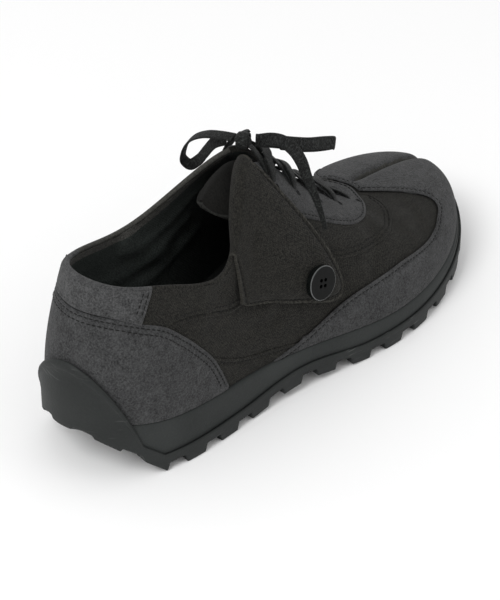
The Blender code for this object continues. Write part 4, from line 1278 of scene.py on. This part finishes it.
def tongue_shape(u, v):
    """An arch under the lace, raised along its middle, whose free end narrows and droops past the throat."""
    across = (2 * u - 1) * TONGUE_SIDE
    inside = np.clip(v / OVERHANG_FROM, 0, 1)
    station = TONGUE_FRONT + (TONGUE_BACK - TONGUE_FRONT) * inside
    fading = 1 - smooth_step((inside - TONGUE_CROWN_END) / (1 - TONGUE_CROWN_END))
    crown = TONGUE_CROWN * (np.clip(1 - across ** 4, 0, 1) * fading)
    points = throat_arch(station, across, TONGUE_LIFT + crown)
    crest = throat_arch(np.array(TONGUE_BACK), np.array(0.0), TONGUE_LIFT)
    past = np.clip((v - OVERHANG_FROM) / (1 - OVERHANG_FROM), 0, 1)
    past = np.sin(past * math.pi / 2)
    height = TONGUE_RISE * 4 * past * (1 - past) - TONGUE_DROOP * past ** 2
    middle = crest + np.stack([-TONGUE_OVERHANG * past, 0 * past, height], axis=1)
    end = middle + (points - crest) * np.sqrt(1 - (TONGUE_ROUND * past) ** 2)[:, None]
    return np.where((past > 0)[:, None], end, points)


def tongue_spread(u, v):
    return u * TONGUE_WIDE, v * TONGUE_LONG


tongue = lay_grid("tongue_cloth", *TONGUE_GRID, tongue_shape, tongue_spread)
face_outward(tongue)
apply_modifier(tongue, "SOLIDIFY", thickness=TONGUE, offset=-1)
finish_piece(tongue, ["tongue"], finishes=[TONGUE_CLOTH])

# %% [markdown]
# ## Collar flap
# The flap is a canvas lapel sewn inside the outer collar: it turns over the rim in a small hairpin and
# hangs down the side to the button. Its corners are cut round, and a row of stitches runs round its edge.
# The cloth is painted paler along that edge: a painted highlight where the fold catches light, partly rub
# wear.
# The button pulls a few soft folds into it.

# %% Sizes of the flap
Flap = namedtuple("Flap", "fold hem hem_share swing")
FLAP_RIBS = [
    Flap(3.10, 2.96, 0.61, 0.00), Flap(3.35, 3.40, 0.465, 0.02), Flap(3.60, 3.76, 0.330, 0.05),
    Flap(3.82, 4.13, 0.235, 0.11), Flap(4.03, 4.42, 0.310, 0.27)]
Hem = namedtuple("Hem", "u reach")
FLAP_HEM = [
    Hem(0.0, 0.850), Hem(0.05, 0.915), Hem(0.1, 0.947), Hem(0.2, 0.990), Hem(0.3, 1.012), Hem(0.4, 1.017),
    Hem(0.5, 1.010), Hem(0.6, 0.995), Hem(0.7, 0.984), Hem(0.8, 0.996), Hem(0.9, 1.022), Hem(0.95, 1.022),
    Hem(1.0, 0.965)]
Pull = namedtuple("Pull", "u w to_u to_w depth width")
FLAP_PULLS = [
    Pull(0.70, 0.72, 0.42, 0.36, 0.0008, 0.0050), Pull(0.66, 0.82, 0.34, 0.80, 0.0007, 0.0045),
    Pull(0.82, 0.68, 0.86, 0.34, -0.0006, 0.0050), Pull(0.30, 0.30, 0.12, 0.62, -0.0007, 0.0060)]
PULL_FADE = 0.6
FLAP = 0.0018
FLAP_WIDE = 0.060
FLAP_LONG = 0.068
FLAP_LIFT = 0.0040
FLAP_HEM_LIFT = 0.0060
FLAP_FOLD_LIFT = 0.0006
FLAP_REAR_HEM_LIFT = 0.0032
FLAP_REAR_END = 0.7
FLAP_SWING_FADE = 0.4
FLAP_CURL = 0.011
FLAP_CURL_START = 0.3
FLAP_HEM_REST = 0.0020
FLAP_FRONT_REST = 0.0032
BUTTON_U = 0.715
BUTTON_W = 0.80
BUTTON_DIMPLE = 0.0010
BUTTON_DIMPLE_WIDTH = 0.0085
FLAP_PLACES = np.linspace(0, 1, len(FLAP_RIBS))
flap_lines = [smooth_line(FLAP_PLACES, column) for column in zip(*FLAP_RIBS)]
flap_hem = smooth_line(*zip(*FLAP_HEM))


# %% How the flap hangs
def flap_relief(u, w):
    """Soft forms of the hanging cloth: a dimple under the button, and folds that the button pulls."""
    x, y = u * FLAP_WIDE, w * FLAP_LONG
    from_button = np.hypot(x - BUTTON_U * FLAP_WIDE, y - BUTTON_W * FLAP_LONG)
    relief = -BUTTON_DIMPLE * bell(from_button, BUTTON_DIMPLE_WIDTH)
    for pull in FLAP_PULLS:
        start = np.array([pull.u * FLAP_WIDE, pull.w * FLAP_LONG])
        run = np.array([pull.to_u * FLAP_WIDE, pull.to_w * FLAP_LONG]) - start
        share = np.clip(((x - start[0]) * run[0] + (y - start[1]) * run[1]) / (run @ run), 0, 1)
        gap = np.hypot(x - start[0] - share * run[0], y - start[1] - share * run[1])
        relief = relief + pull.depth * bell(gap, pull.width) * (1 - PULL_FADE * share)
    return relief


def flap_point(u, w, reach):
    """The flap's inner face moved reach outwards: u along the fold, w from fold, 0, to hem, 1."""
    u, w = np.broadcast_arrays(np.asarray(u, float), np.asarray(w, float))
    fold, hem, share, swing = [line(u) for line in flap_lines]
    station = fold + (hem - fold) * w + swing * 4 * w * (1 - w) * (1 - FLAP_SWING_FADE * w)
    forward = smooth_step(u / FLAP_REAR_END)
    at_fold = FLAP_FOLD_LIFT + (FLAP_LIFT - FLAP_FOLD_LIFT) * forward
    at_hem = FLAP_REAR_HEM_LIFT + (FLAP_HEM_LIFT - FLAP_REAR_HEM_LIFT) * forward
    lift = at_fold + (at_hem - at_fold) * w + flap_relief(u, w)
    to_front, to_hem = (1 - u) * FLAP_WIDE, (flap_hem(u) - w) * FLAP_LONG
    for away, rest in ((to_front, FLAP_FRONT_REST), (to_hem, FLAP_HEM_REST)):
        curl = smooth_step(1 - away / FLAP_CURL) * smooth_step(w / FLAP_CURL_START)
        lift = lift + (np.minimum(lift, rest) - lift) * curl
    return offset_surface(at_station(station), 1 + (share - 1) * w, lift + reach)


# %% The flap's outer face
FLAP_LIP = 0.035
FLAP_INSIDE = 0.06
FLAP_OVER = 0.14
FLAP_START = 0.14
FLAP_CLEAR = 0.0006
FLAP_TUCK = 0.35
FLAP_TUCK_END = 0.4
FLAP_TURN = 0.8
FLAP_CREST = 0.0018
FLAP_CREST_FULL = 0.5
FLAP_STITCH_INSET = 0.0026
FLAP_WELT = 0.0006
FLAP_WELT_WIDTH = 0.0008
FLAP_WELT_START = 0.1


def flap_shape(u, v):
    """A lip inside the collar, a hairpin over its rim, then down to the hem."""
    s = at_station(flap_lines[0](u))
    ones = np.ones_like(s)
    rim = surface(s, ones)
    out = normals(surface, s, ones)
    rise = unit(rim - surface(s, BELOW_RIM * ones))
    tuck = FLAP_TUCK + (1 - FLAP_TUCK) * smooth_step(u / FLAP_TUCK_END)
    inside = (-WALL - FLAP_CLEAR - FLAP) * tuck
    lip = offset_surface(s, 1 - FLAP_LIP * (1 - np.clip(v / FLAP_INSIDE, 0, 1)), inside)
    turn = np.clip((v - FLAP_INSIDE) / (FLAP_OVER - FLAP_INSIDE), 0, 1) * math.pi
    start = flap_point(u, 0.0 * v, FLAP)
    outside = np.sum((start - rim) * out, axis=1)
    middle = rim + out * ((outside + inside) / 2)[:, None]
    radius = (outside - inside) / 2
    crest = np.sin(turn) * (radius * FLAP_TURN + FLAP_CREST * smooth_step(u / FLAP_CREST_FULL)) + FLAP_CLEAR
    over = middle - out * (np.cos(turn) * radius)[:, None] + rise * crest[:, None]
    w = np.clip((v - FLAP_OVER) / (1 - FLAP_OVER), 0, 1) * flap_hem(u)
    settle = smooth_step(w / FLAP_START)[:, None]
    end = middle + out * radius[:, None] + rise * FLAP_CLEAR
    inset = np.minimum(np.minimum(u, 1 - u) * FLAP_WIDE, (flap_hem(u) - w) * FLAP_LONG)
    welt = FLAP_WELT * bell(inset - FLAP_STITCH_INSET, FLAP_WELT_WIDTH) * smooth_step(w / FLAP_WELT_START)
    hang = flap_point(u, w, FLAP - welt) + (end - start) * (1 - settle)
    points = np.where((v < FLAP_INSIDE)[:, None], lip, over)
    return np.where((v > FLAP_OVER)[:, None], hang, points)


# %% Flap
FLAP_GRID = (110, 130)
FLAP_CLOTH_SHARE = 0.8
FLAP_PALE_EDGE_WIDTH = 0.0013
FLAP_BEVEL = dict(width=0.0004, segments=2, limit_method="ANGLE", angle_limit=math.radians(60))
flap_steps = np.linspace(0, 1, 600)
flap_run = run_lengths(flap_shape(np.full(len(flap_steps), 0.5), flap_steps))


def flap_cloth(u, v):
    return u * FLAP_WIDE, np.interp(v, flap_steps, flap_run)


flap = lay_grid("canvas_flap", *FLAP_GRID, flap_shape, flap_cloth)
apply_modifier(flap, "SOLIDIFY", thickness=FLAP * FLAP_CLOTH_SHARE, offset=1)
apply_modifier(flap, "BEVEL", **FLAP_BEVEL)
edge_run = np.linspace(0, 1, 400)
edge_ends = np.ones(len(edge_run))
flap_edge = np.concatenate([flap_shape(edge_run, edge_ends), flap_shape(0 * edge_run, edge_run),
                            flap_shape(edge_ends, edge_run)])
# Faces near the flap's edge take the paler canvas: painted highlight, partly rub wear.
give_finishes(flap, [CANVAS, EDGE_HIGHLIGHT_AND_RUB], near(face_centres(flap), flap_edge) < FLAP_PALE_EDGE_WIDTH)
finish_piece(flap, ["collar_flap"])

# %% [markdown]
# ## Button
# The button is a turned disc with a raised rim and four holes. It is modelled flat at the origin, from a
# cylinder with its top face inset and pushed down, and then set on the flap.

# %% Sizes of the button
BUTTON_DIAMETER = 0.0178
BUTTON_THICKNESS = 0.0032
BUTTON_CORNERS = 72
BUTTON_RIM = 0.0022
BUTTON_SLOPE = 0.0006
BUTTON_DISH = 0.0014
BUTTON_SWELL = 0.0016
BUTTON_SWELL_SHARE = 0.25
BUTTON_BEVEL = dict(width=0.0004, segments=3, limit_method="ANGLE", angle_limit=math.radians(25))
BUTTON_HOLES = 4
BUTTON_HOLE = 0.0020
BUTTON_HOLE_CIRCLE = 0.0042
BUTTON_PIN = 0.012
BUTTON_SHANK = 0.0014
BUTTON_SMOOTH = math.radians(8)
DISH_REACH = BUTTON_DIAMETER / 2 - BUTTON_RIM - 0.0008
TOP_FACING = 0.9
SLOPE_FACING = (0.2, 0.97)
SEAT_SIDE = 0.05
SEAT_DOWN = 0.08


# %% Button
def button_seat():
    """The middle of the button's underside, and its axes: along the flap, across it and out of it."""
    u, w = np.array(BUTTON_U), np.array(BUTTON_W)
    side = unit(flap_point(u + SEAT_SIDE, w, FLAP) - flap_point(u - SEAT_SIDE, w, FLAP))
    down = flap_point(u, w + SEAT_DOWN, FLAP) - flap_point(u, w - SEAT_DOWN, FLAP)
    facing = unit(np.cross(down, side))
    return flap_point(u, w, FLAP) + facing * BUTTON_SHANK, np.stack([side, np.cross(facing, side), facing])


def make_button():
    deselect()
    bpy.ops.mesh.primitive_cylinder_add(vertices=BUTTON_CORNERS, radius=BUTTON_DIAMETER / 2,
                                        depth=BUTTON_THICKNESS, location=(0, 0, BUTTON_THICKNESS / 2))
    button = bpy.context.object
    button.name = "button"
    bpy.ops.object.transform_apply(location=True)
    for face in button.data.polygons:
        face.select = face.normal.z > TOP_FACING
    bpy.ops.object.mode_set(mode="EDIT")
    bpy.ops.mesh.select_mode(type="FACE")
    bpy.ops.mesh.inset(thickness=BUTTON_RIM)
    bpy.ops.mesh.inset(thickness=BUTTON_SLOPE)
    bpy.ops.transform.translate(value=(0, 0, -BUTTON_DISH))
    bpy.ops.mesh.inset(thickness=BUTTON_SWELL)
    bpy.ops.transform.translate(value=(0, 0, BUTTON_DISH * BUTTON_SWELL_SHARE))
    bpy.ops.object.mode_set(mode="OBJECT")
    apply_modifier(button, "BEVEL", **BUTTON_BEVEL)
    for i in range(BUTTON_HOLES):
        turn = math.pi / 4 + i * math.pi / 2
        pin = make_pin(BUTTON_HOLE, BUTTON_PIN)
        pin.location = (math.cos(turn) * BUTTON_HOLE_CIRCLE / 2, math.sin(turn) * BUTTON_HOLE_CIRCLE / 2, 0)
        punch(button, pin)
    return button


button = make_button()
seat, seat_axes = button_seat()
set_points(button, points_of(button) @ seat_axes + seat)
from_axis = np.linalg.norm(np.cross(points_of(button) - seat, seat_axes[2]), axis=1)


def button_finish(face):
    """The number of a face's finish: 1 on the rim's slopes, a painted highlight; 2 in the dish, painted
    shade; else 0.
    """
    reach = from_axis[list(face.vertices)].min()
    if reach < DISH_REACH:
        return 2
    return int(SLOPE_FACING[0] < np.dot(face.normal, seat_axes[2]) < SLOPE_FACING[1] and reach > DISH_REACH)


# The rim's slopes get the painted highlight and the dish the painted shade.
give_finishes(button, [HORN, HORN_RIM_HIGHLIGHT, HORN_DISH_SHADE], [button_finish(face) for face in button.data.polygons])
finish_piece(button, ["flap_button"], smooth=BUTTON_SMOOTH)

# %% [markdown]
# ## Lace
# The lace is a flat woven ribbon. It crosses the throat from hole to hole, is tied on top, and leaves two
# loops and two short ends. Each length is a rounded band swept along its route, and its weave follows the
# route.

# %% Lace bands
LACE_WIDTH = 0.0065
LACE_THICKNESS = 0.0012
LACE_LIFT = 0.0023
BAND_CORNERS = 16
BAND_SIDE = 0.45
BAND_FACE = 0.8
LACE = make_finish("lace_ribbon", WEAVE, (0.0016, 0.0020, 0.0018), (0.0420, 0.0450, 0.0430), 0.66,
                   (0.9, 0.0008), spread=(0.46, 0.68), sheen=0.02, Threads=1900.0)


def sweep_band(name, points, ups, narrow=None, width=LACE_WIDTH, thickness=LACE_THICKNESS, corner=BAND_SIDE):
    """A flat rounded band along points, its upper face towards ups."""
    points = np.asarray(points, float)
    count = len(points)
    runs = unit(np.gradient(points, axis=0))
    sides = unit(np.cross(runs, ups))
    tops = np.cross(sides, runs)
    narrow = np.ones(count) if narrow is None else narrow
    reach = run_lengths(points)

    def step(v):
        return np.rint(v * (count - 1)).astype(int)

    def shape(u, v):
        i, turn = step(v), u * 2 * math.pi
        x = np.sign(np.cos(turn)) * np.abs(np.cos(turn)) ** corner * width / 2 * narrow[i]
        y = np.sign(np.sin(turn)) * np.abs(np.sin(turn)) ** BAND_FACE * thickness / 2
        return points[i] + sides[i] * x[:, None] + tops[i] * y[:, None]

    def cloth(u, v):
        return np.cos(u * 2 * math.pi) * width / 2, reach[step(v)]

    band = lay_grid(name, BAND_CORNERS, count - 1, shape, cloth, merge=True)
    pick(band)
    bpy.ops.object.mode_set(mode="EDIT")
    bpy.ops.mesh.select_mode(type="EDGE")
    bpy.ops.mesh.select_all(action="DESELECT")
    bpy.ops.mesh.select_non_manifold(extend=False)
    bpy.ops.mesh.edge_face_add()
    bpy.ops.mesh.select_all(action="SELECT")
    bpy.ops.mesh.normals_make_consistent(inside=False)
    bpy.ops.object.mode_set(mode="OBJECT")
    return band


# %% Lace across the throat
EYELET_ACROSS = 1 + EYELET_DROP
BAR_STEPS = 70
SINK = 0.0042
SINK_FROM = 1.04
NARROWING = 0.5
NARROW_FROM = 1.03
UP_STEP = 0.002
CROSS_LIFT = 0.0006
CROSS_EASE = 0.3
LEG_STEPS = 40
LEG_STATION = 4.17
LEG_TOP_LIFT = 0.0046
LEG_ACROSS = 0.10


def into_hole(across, start):
    """0 over the throat, rising from start on to 1 in the eyelet's hole."""
    return smooth_step((np.abs(across) - start) / (EYELET_ACROSS - start))


def over_throat(stations, across, lift):
    """A band's middle line over the throat, sunk into the eyelets' holes, and the ways up from it."""
    lift = lift - into_hole(across, SINK_FROM) * SINK
    points = throat_arch(stations, across, lift)
    return points, throat_arch(stations, across, lift + UP_STEP) - points


def lace_bar(start, end, lift):
    """From the outer eyelet at one station to the inner eyelet at another, narrowed into both holes."""
    across = np.linspace(-EYELET_ACROSS, EYELET_ACROSS, BAR_STEPS)
    points, ups = over_throat(np.linspace(start, end, BAR_STEPS), across, lift + LACE_THICKNESS / 2)
    return points, ups, 1 - NARROWING * into_hole(across, NARROW_FROM)


def lace_leg(side):
    """From the last eyelet of one side up to the knot."""
    share = np.linspace(0, 1, LEG_STEPS)
    stations = EYELET_STATIONS[-1] + (LEG_STATION - EYELET_STATIONS[-1]) * share
    lift = LACE_LIFT + (LEG_TOP_LIFT - LACE_LIFT) * smooth_step(share)
    return over_throat(stations, side * np.linspace(EYELET_ACROSS, LEG_ACROSS, LEG_STEPS), lift)


bars = [sweep_band("lace_bar_front", *lace_bar(EYELET_STATIONS[0], EYELET_STATIONS[0], LACE_LIFT))]
for i, (low, high) in enumerate(zip(EYELET_STATIONS, EYELET_STATIONS[1:])):
    for k, (start, end) in enumerate(((low, high), (high, low))):
        lift = LACE_LIFT + CROSS_LIFT * (2 * k + 1 - CROSS_EASE * (i % 2))
        bars.append(sweep_band(f"lace_crossing_{i + 1}_{k + 1}", *lace_bar(start, end, lift)))
for side in (-1, 1):
    bars.append(sweep_band(f"lace_leg_{side + 2}", *lace_leg(side)))
print("lengths of lace across the throat:", len(bars))
join(*bars)
bars[0].name = "lace_across"
finish_piece(bars[0], ["lace_bars"], finishes=[LACE])

# %% Routes of the bow
KNOT_STATION = 4.15
KNOT_LIFT = 0.0054
Path = namedtuple("Path", "along side height")
LOOP_OUTER = [
    Path(0.0052, -0.0036, -0.0010), Path(0.0100, -0.0060, -0.0025), Path(0.0195, -0.0092, -0.0065),
    Path(0.0320, -0.0145, -0.0110), Path(0.0430, -0.0166, -0.0145), Path(0.0480, -0.0176, -0.0165),
    Path(0.0492, -0.0160, -0.0187), Path(0.0465, -0.0144, -0.0190), Path(0.0410, -0.0138, -0.0175),
    Path(0.0300, -0.0113, -0.0140), Path(0.0190, -0.0062, -0.0098)]
LOOP_INNER = [
    Path(0.0000, 0.0064, -0.0010), Path(-0.0020, 0.0130, -0.0015), Path(-0.0035, 0.0220, -0.0040),
    Path(-0.0045, 0.0300, -0.0095), Path(-0.0052, 0.0345, -0.0175), Path(-0.0052, 0.0350, -0.0230),
    Path(-0.0030, 0.0325, -0.0260), Path(-0.0005, 0.0295, -0.0235), Path(0.0005, 0.0255, -0.0175),
    Path(0.0008, 0.0195, -0.0095), Path(0.0012, 0.0125, -0.0048)]
END_OUTER = [
    Path(0.0050, -0.0066, 0.0004), Path(0.0095, -0.0098, 0.0002), Path(0.0145, -0.0127, -0.0022),
    Path(0.0181, -0.0157, -0.0066), Path(0.0218, -0.0184, -0.0146), Path(0.0226, -0.0219, -0.0233),
    Path(0.0225, -0.0270, -0.0313), Path(0.0196, -0.0338, -0.0381), Path(0.0163, -0.0392, -0.0424)]
END_INNER = [
    Path(0.0060, 0.0046, -0.0010), Path(0.0095, 0.0090, -0.0035), Path(0.0120, 0.0150, -0.0090),
    Path(0.0130, 0.0212, -0.0175), Path(0.0132, 0.0262, -0.0275), Path(0.0125, 0.0300, -0.0375)]
FACE_OUTER = (-0.62, -0.54, 0.57)
FACE_INNER = (-0.30, 0.60, 0.74)
FACE_HANG_INNER = (0.30, 0.80, 0.52)
END_TWIST = math.radians(40)

# %% Free lengths of lace
LACE_STEPS = 90
knot_centre = throat_arch(np.array(KNOT_STATION), np.array(0.0), KNOT_LIFT)
lace_words = {}


def lace_route(path, face, twist):
    """Even steps along a path from the knot, with the band's face carried along and twisted by its end."""
    path = np.array(path) + knot_centre
    reach = run_lengths(path)
    places = np.linspace(0, reach[-1], LACE_STEPS)
    points = np.stack([smooth_line(reach, path[:, k])(places) for k in range(3)], axis=1)
    runs = unit(np.gradient(points, axis=0))
    ups = [np.array(face)]
    for run in runs:
        ups.append(unit(ups[-1] - run * np.dot(ups[-1], run)))
    ups = np.array(ups[1:])
    turns = np.linspace(0, twist, LACE_STEPS)[:, None]
    return points, ups * np.cos(turns) + np.cross(runs, ups) * np.sin(turns)


def free_lace(name, node, path, face, far_end, lay, twist=0.0, narrow=None):
    """A length of lace from the knot, and what is said of it as a cord."""
    points, ups = lace_route(path, face, twist)
    band = finish_piece(sweep_band(name, points, ups, narrow), [node], finishes=[LACE])
    length = float(np.linalg.norm(np.diff(points, axis=0), axis=1).sum())
    lace_words[name] = round(length, 4)
    return band, dict(exit=tuple(points[0]), length=length, diameter=LACE_WIDTH, far_end=far_end,
                      stiffness="limp", lay=lay, path=[tuple(p) for p in points])


# %% Knot, loops and ends
KNOT_HALF = (0.0040, 0.0050, 0.0030)
KNOT_CORE = 0.92
KNOT_WRAP = (0.0042, 0.0034)
KNOT_ACROSS = np.array([0.89, 0.46, 0.0])
KNOT_LACE = 0.0058
KNOT_STEPS = 61
TIP_NARROWING = 0.62
TIP_START = 0.35


def make_knot():
    """A ball with a turn of the lace round it, in two halves."""
    deselect()
    bpy.ops.mesh.primitive_uv_sphere_add(segments=32, ring_count=20, radius=1)
    knot = bpy.context.object
    knot.name = "lace_tied_knot"
    knot.data.uv_layers[0].name = CLOTH_UV
    set_points(knot, points_of(knot) * np.array(KNOT_HALF) * KNOT_CORE + knot_centre)
    turns = np.linspace(0, 2 * math.pi, KNOT_STEPS)[:, None]
    over = np.cos(turns) * np.array([0, 0, KNOT_WRAP[1]]) + np.sin(turns) * KNOT_ACROSS * KNOT_WRAP[0]
    front, back = over[KNOT_STEPS // 2:], over[:KNOT_STEPS // 2 + 1]
    wrap = sweep_band("knot_wrap", knot_centre + front, front, width=KNOT_LACE)
    wrap_under = sweep_band("knot_wrap_under", knot_centre + back, back, width=KNOT_LACE)
    join(knot, wrap, wrap_under)
    return knot


knot = finish_piece(make_knot(), ["lace_knot"], finishes=[LACE])
tip = 1 - TIP_NARROWING * smooth_step((np.linspace(0, 1, LACE_STEPS) - TIP_START) / (1 - TIP_START))
loop_outer, words_outer = free_lace("lace_bow_outer", "lace_loop_outer", LOOP_OUTER, FACE_OUTER, "knot",
                                    "loose")
loop_inner, words_inner = free_lace("lace_bow_inner", "lace_loop_inner", LOOP_INNER, FACE_INNER, "knot",
                                    "loose")
end_outer, words_end = free_lace("lace_tail_outer", "lace_end_outer", END_OUTER, FACE_OUTER, "bare",
                                 "hanging", END_TWIST, tip)
end_inner, words_tail = free_lace("lace_tail_inner", "lace_end_inner", END_INNER, FACE_HANG_INNER, "bare",
                                  "hanging", 0.0, tip)
print("free lace:", lace_words)

# %% [markdown]
# ## Stitches, piping and binding
# The seams are lockstitched in dark thread, two rows where a piece carries load. One stitch is modelled,
# a short thread that narrows towards both ends, and copies of it follow each seam on the piece itself, so
# every stitch sits in its trough. A rolled canvas edge finishes the collar, and tape binds the tongue's
# rear edge.

# %% One stitch
STITCH_LONG = 0.0021
STITCH_PITCH = 0.0028
STITCH_THICK = 0.00055
STITCH_RAISE = 0.2
SEAM_STEPS = 1200
deselect()
bpy.ops.mesh.primitive_uv_sphere_add(segments=6, ring_count=5, radius=0.5)
stitch = bpy.context.object
stitch.name = "stitch_pattern"
bpy.ops.transform.resize(value=(STITCH_THICK, STITCH_THICK, STITCH_LONG))
bpy.ops.object.transform_apply(location=True, rotation=True, scale=True)
stitch_points = points_of(stitch)[:, [2, 0, 1]]
stitch_faces = [list(face.vertices) for face in stitch.data.polygons]
bpy.data.objects.remove(stitch)
print("one stitch:", len(stitch_faces), "faces")


# %% Sewing along a line
def on_piece(piece, points):
    """The nearest places on a piece's faces, with their normals."""
    corners = [v.co for v in piece.data.vertices]
    tree = BVHTree.FromPolygons(corners, [tuple(face.vertices) for face in piece.data.polygons])
    found = [tree.find_nearest(Vector(p)) for p in points]
    return np.array([f[0] for f in found]), np.array([f[1] for f in found])


def beside(points, facing, inset):
    """A line moved sideways in the surface it lies on; a positive inset is to the right of its run."""
    return points + unit(np.cross(np.gradient(points, axis=0), facing)) * inset


def at_even_steps(points, step):
    run = run_lengths(points)
    places = np.arange(step / 2, run[-1], step)
    return np.stack([np.interp(places, run, points[:, k]) for k in range(3)], axis=1)


def sew(name, piece, lines):
    """Copies of the stitch along lines, set on the piece's outer face."""
    copies = []
    for line in lines:
        points, facing = on_piece(piece, at_even_steps(line, STITCH_PITCH))
        runs = unit(np.gradient(points, axis=0))
        sides = unit(np.cross(facing, runs))
        ups = np.cross(runs, sides)
        for point, run, side, up in zip(points + ups * STITCH_THICK * STITCH_RAISE, runs, sides, ups):
            copies.append(stitch_points @ np.stack([run, side, up]) + point)
    count = len(stitch_points)
    faces = [[c + i * count for c in face] for i in range(len(copies)) for face in stitch_faces]
    print(name, len(copies), "stitches")
    return finish_piece(mesh_piece(name, np.concatenate(copies), faces), finishes=[THREAD])


def sew_edge(name, piece, ends, edge, lift, insets):
    """Rows beside a panel's edge; a positive inset is to the right of the run from end to end."""
    stations = np.linspace(*ends, SEAM_STEPS)
    s, t = at_station(stations), edge(stations)
    points, facing = offset_surface(s, t, lift), normals(surface, s, t)
    return sew(name, piece, [beside(points, facing, inset) for inset in insets])


# %% Rows of stitches
ROWS_INSET = np.array([0.0020, 0.0046])
TAB_ROW = np.linspace(0.80, 0.985, 300)
SUEDE_FACE = PANEL_LIFT + SUEDE
LAP_FACE = LAP_LIFT + LAP


def tab_row(end, inset):
    """A line up the back tab, inset from one of its ends."""
    s = at_station(end * tab_lean(TAB_ROW))
    facing = normals(surface, s, TAB_ROW)
    return beside(offset_surface(s, TAB_ROW, SUEDE_FACE), facing, -np.sign(end) * inset)


sew_edge("stitches_counter", counter, (-2.60, 2.60), counter_top, SUEDE_FACE, ROWS_INSET)
tab_rows = [tab_row(end, inset) for end in (-TAB_END, TAB_END) for inset in ROWS_INSET]
sew("stitches_tab", back_tab, tab_rows)
sew_edge("stitches_toe_cap", toe_cap, (3.42, 12.58), cap_top, SUEDE_FACE, ROWS_INSET[:1])
sew_edge("stitches_eyestay", eyestay, (4.16, 11.84), stay_low, SUEDE_FACE, -ROWS_INSET[:1])
sew_edge("stitches_quarter_outer", quarter_outer, (1.90, 7.30), quarter_low, LAP_FACE, -ROWS_INSET)
sew_edge("stitches_quarter_inner", quarter_inner, (8.70, 14.10), mirrored(quarter_low), LAP_FACE,
         -ROWS_INSET)
sew_edge("stitches_strip", strip_outer, (2.56, 3.70), strip_top, LAP_FACE, ROWS_INSET[:1])

# %% Flap's stitches
FLAP_ROW_START = 0.10
side_inset = FLAP_STITCH_INSET / FLAP_WIDE
hem_inset = FLAP_STITCH_INSET / FLAP_LONG
hem_u = np.linspace(side_inset, 1 - side_inset, 300)
side_w = np.linspace(FLAP_ROW_START, 1 - hem_inset, 200)


def flap_line(u, w):
    return flap_shape(*np.broadcast_arrays(u, FLAP_OVER + (1 - FLAP_OVER) * w))


flap_rows = [flap_line(hem_u, 1 - hem_inset), flap_line(side_inset, side_w),
             flap_line(1 - side_inset, side_w)]
flap_stitches = sew("stitches_flap", flap, flap_rows)

# %% Collar's rolled edge
PIPING = 0.0027
PIPING_SINK = 0.0006
PIPING_ROUND = 0.9
PIPING_STEPS = 220
COLLAR_FRONT = 4.10


def collar_edge(name, first, last, finish):
    s = at_station(np.linspace(first, last, PIPING_STEPS))
    t = np.ones_like(s)
    ups = surface(s, t) - surface(s, BELOW_RIM * t)
    band = sweep_band(name, offset_surface(s, t, -PIPING_SINK), ups, width=PIPING, thickness=PIPING,
                      corner=PIPING_ROUND)
    return finish_piece(band, finishes=[finish])


collar_edge("collar_edge_outer", TAB_END_HIGH, COLLAR_FRONT, CANVAS)
collar_edge("collar_edge_inner", -COLLAR_FRONT, -TAB_END_HIGH, FACING)
# The tab's rolled edge takes the same lighter suede, painted light.
collar_edge("collar_edge_tab", -TAB_END_HIGH, TAB_END_HIGH, SUEDE_TAB_LIT)

# %% Tongue's binding
BINDING = 0.0022
BINDING_THICK = TONGUE + 0.0006
BINDING_ROUND = 0.6
BINDING_STEP = 0.0008
BINDING_AHEAD = 0.06
EDGE_ROUNDS = 30
FACING_ROUNDS = 60
TINY = 1e-6
BINDING_TAPE = make_finish("binding_tape", WEAVE, (0.0075, 0.0078, 0.0070), (0.0260, 0.0265, 0.0240), 0.88,
                           (0.5, 0.0006), Threads=1500.0)
free_v = np.linspace(OVERHANG_FROM - BINDING_AHEAD, 1, 60)
across_u = np.linspace(0, 1, 30)[1:-1]
bound_u = np.concatenate([np.zeros_like(free_v), across_u, np.ones_like(free_v)])
bound_v = np.concatenate([free_v, np.ones_like(across_u), free_v[::-1]])
rear = at_even_steps(tongue_shape(bound_u, bound_v), BINDING_STEP)
for _ in range(EDGE_ROUNDS):
    rear[1:-1] = (rear[:-2] + 2 * rear[1:-1] + rear[2:]) / 4
facing = on_piece(tongue, rear)[1]
facing = facing * np.sign(facing[:, 2:] + TINY)
for _ in range(FACING_ROUNDS):
    facing[1:-1] = unit(facing[:-2] + 2 * facing[1:-1] + facing[2:])
rear = rear - facing * TONGUE / 2
binding = sweep_band("tongue_binding", rear, facing, width=BINDING, thickness=BINDING_THICK,
                     corner=BINDING_ROUND)
finish_piece(binding, finishes=[BINDING_TAPE])
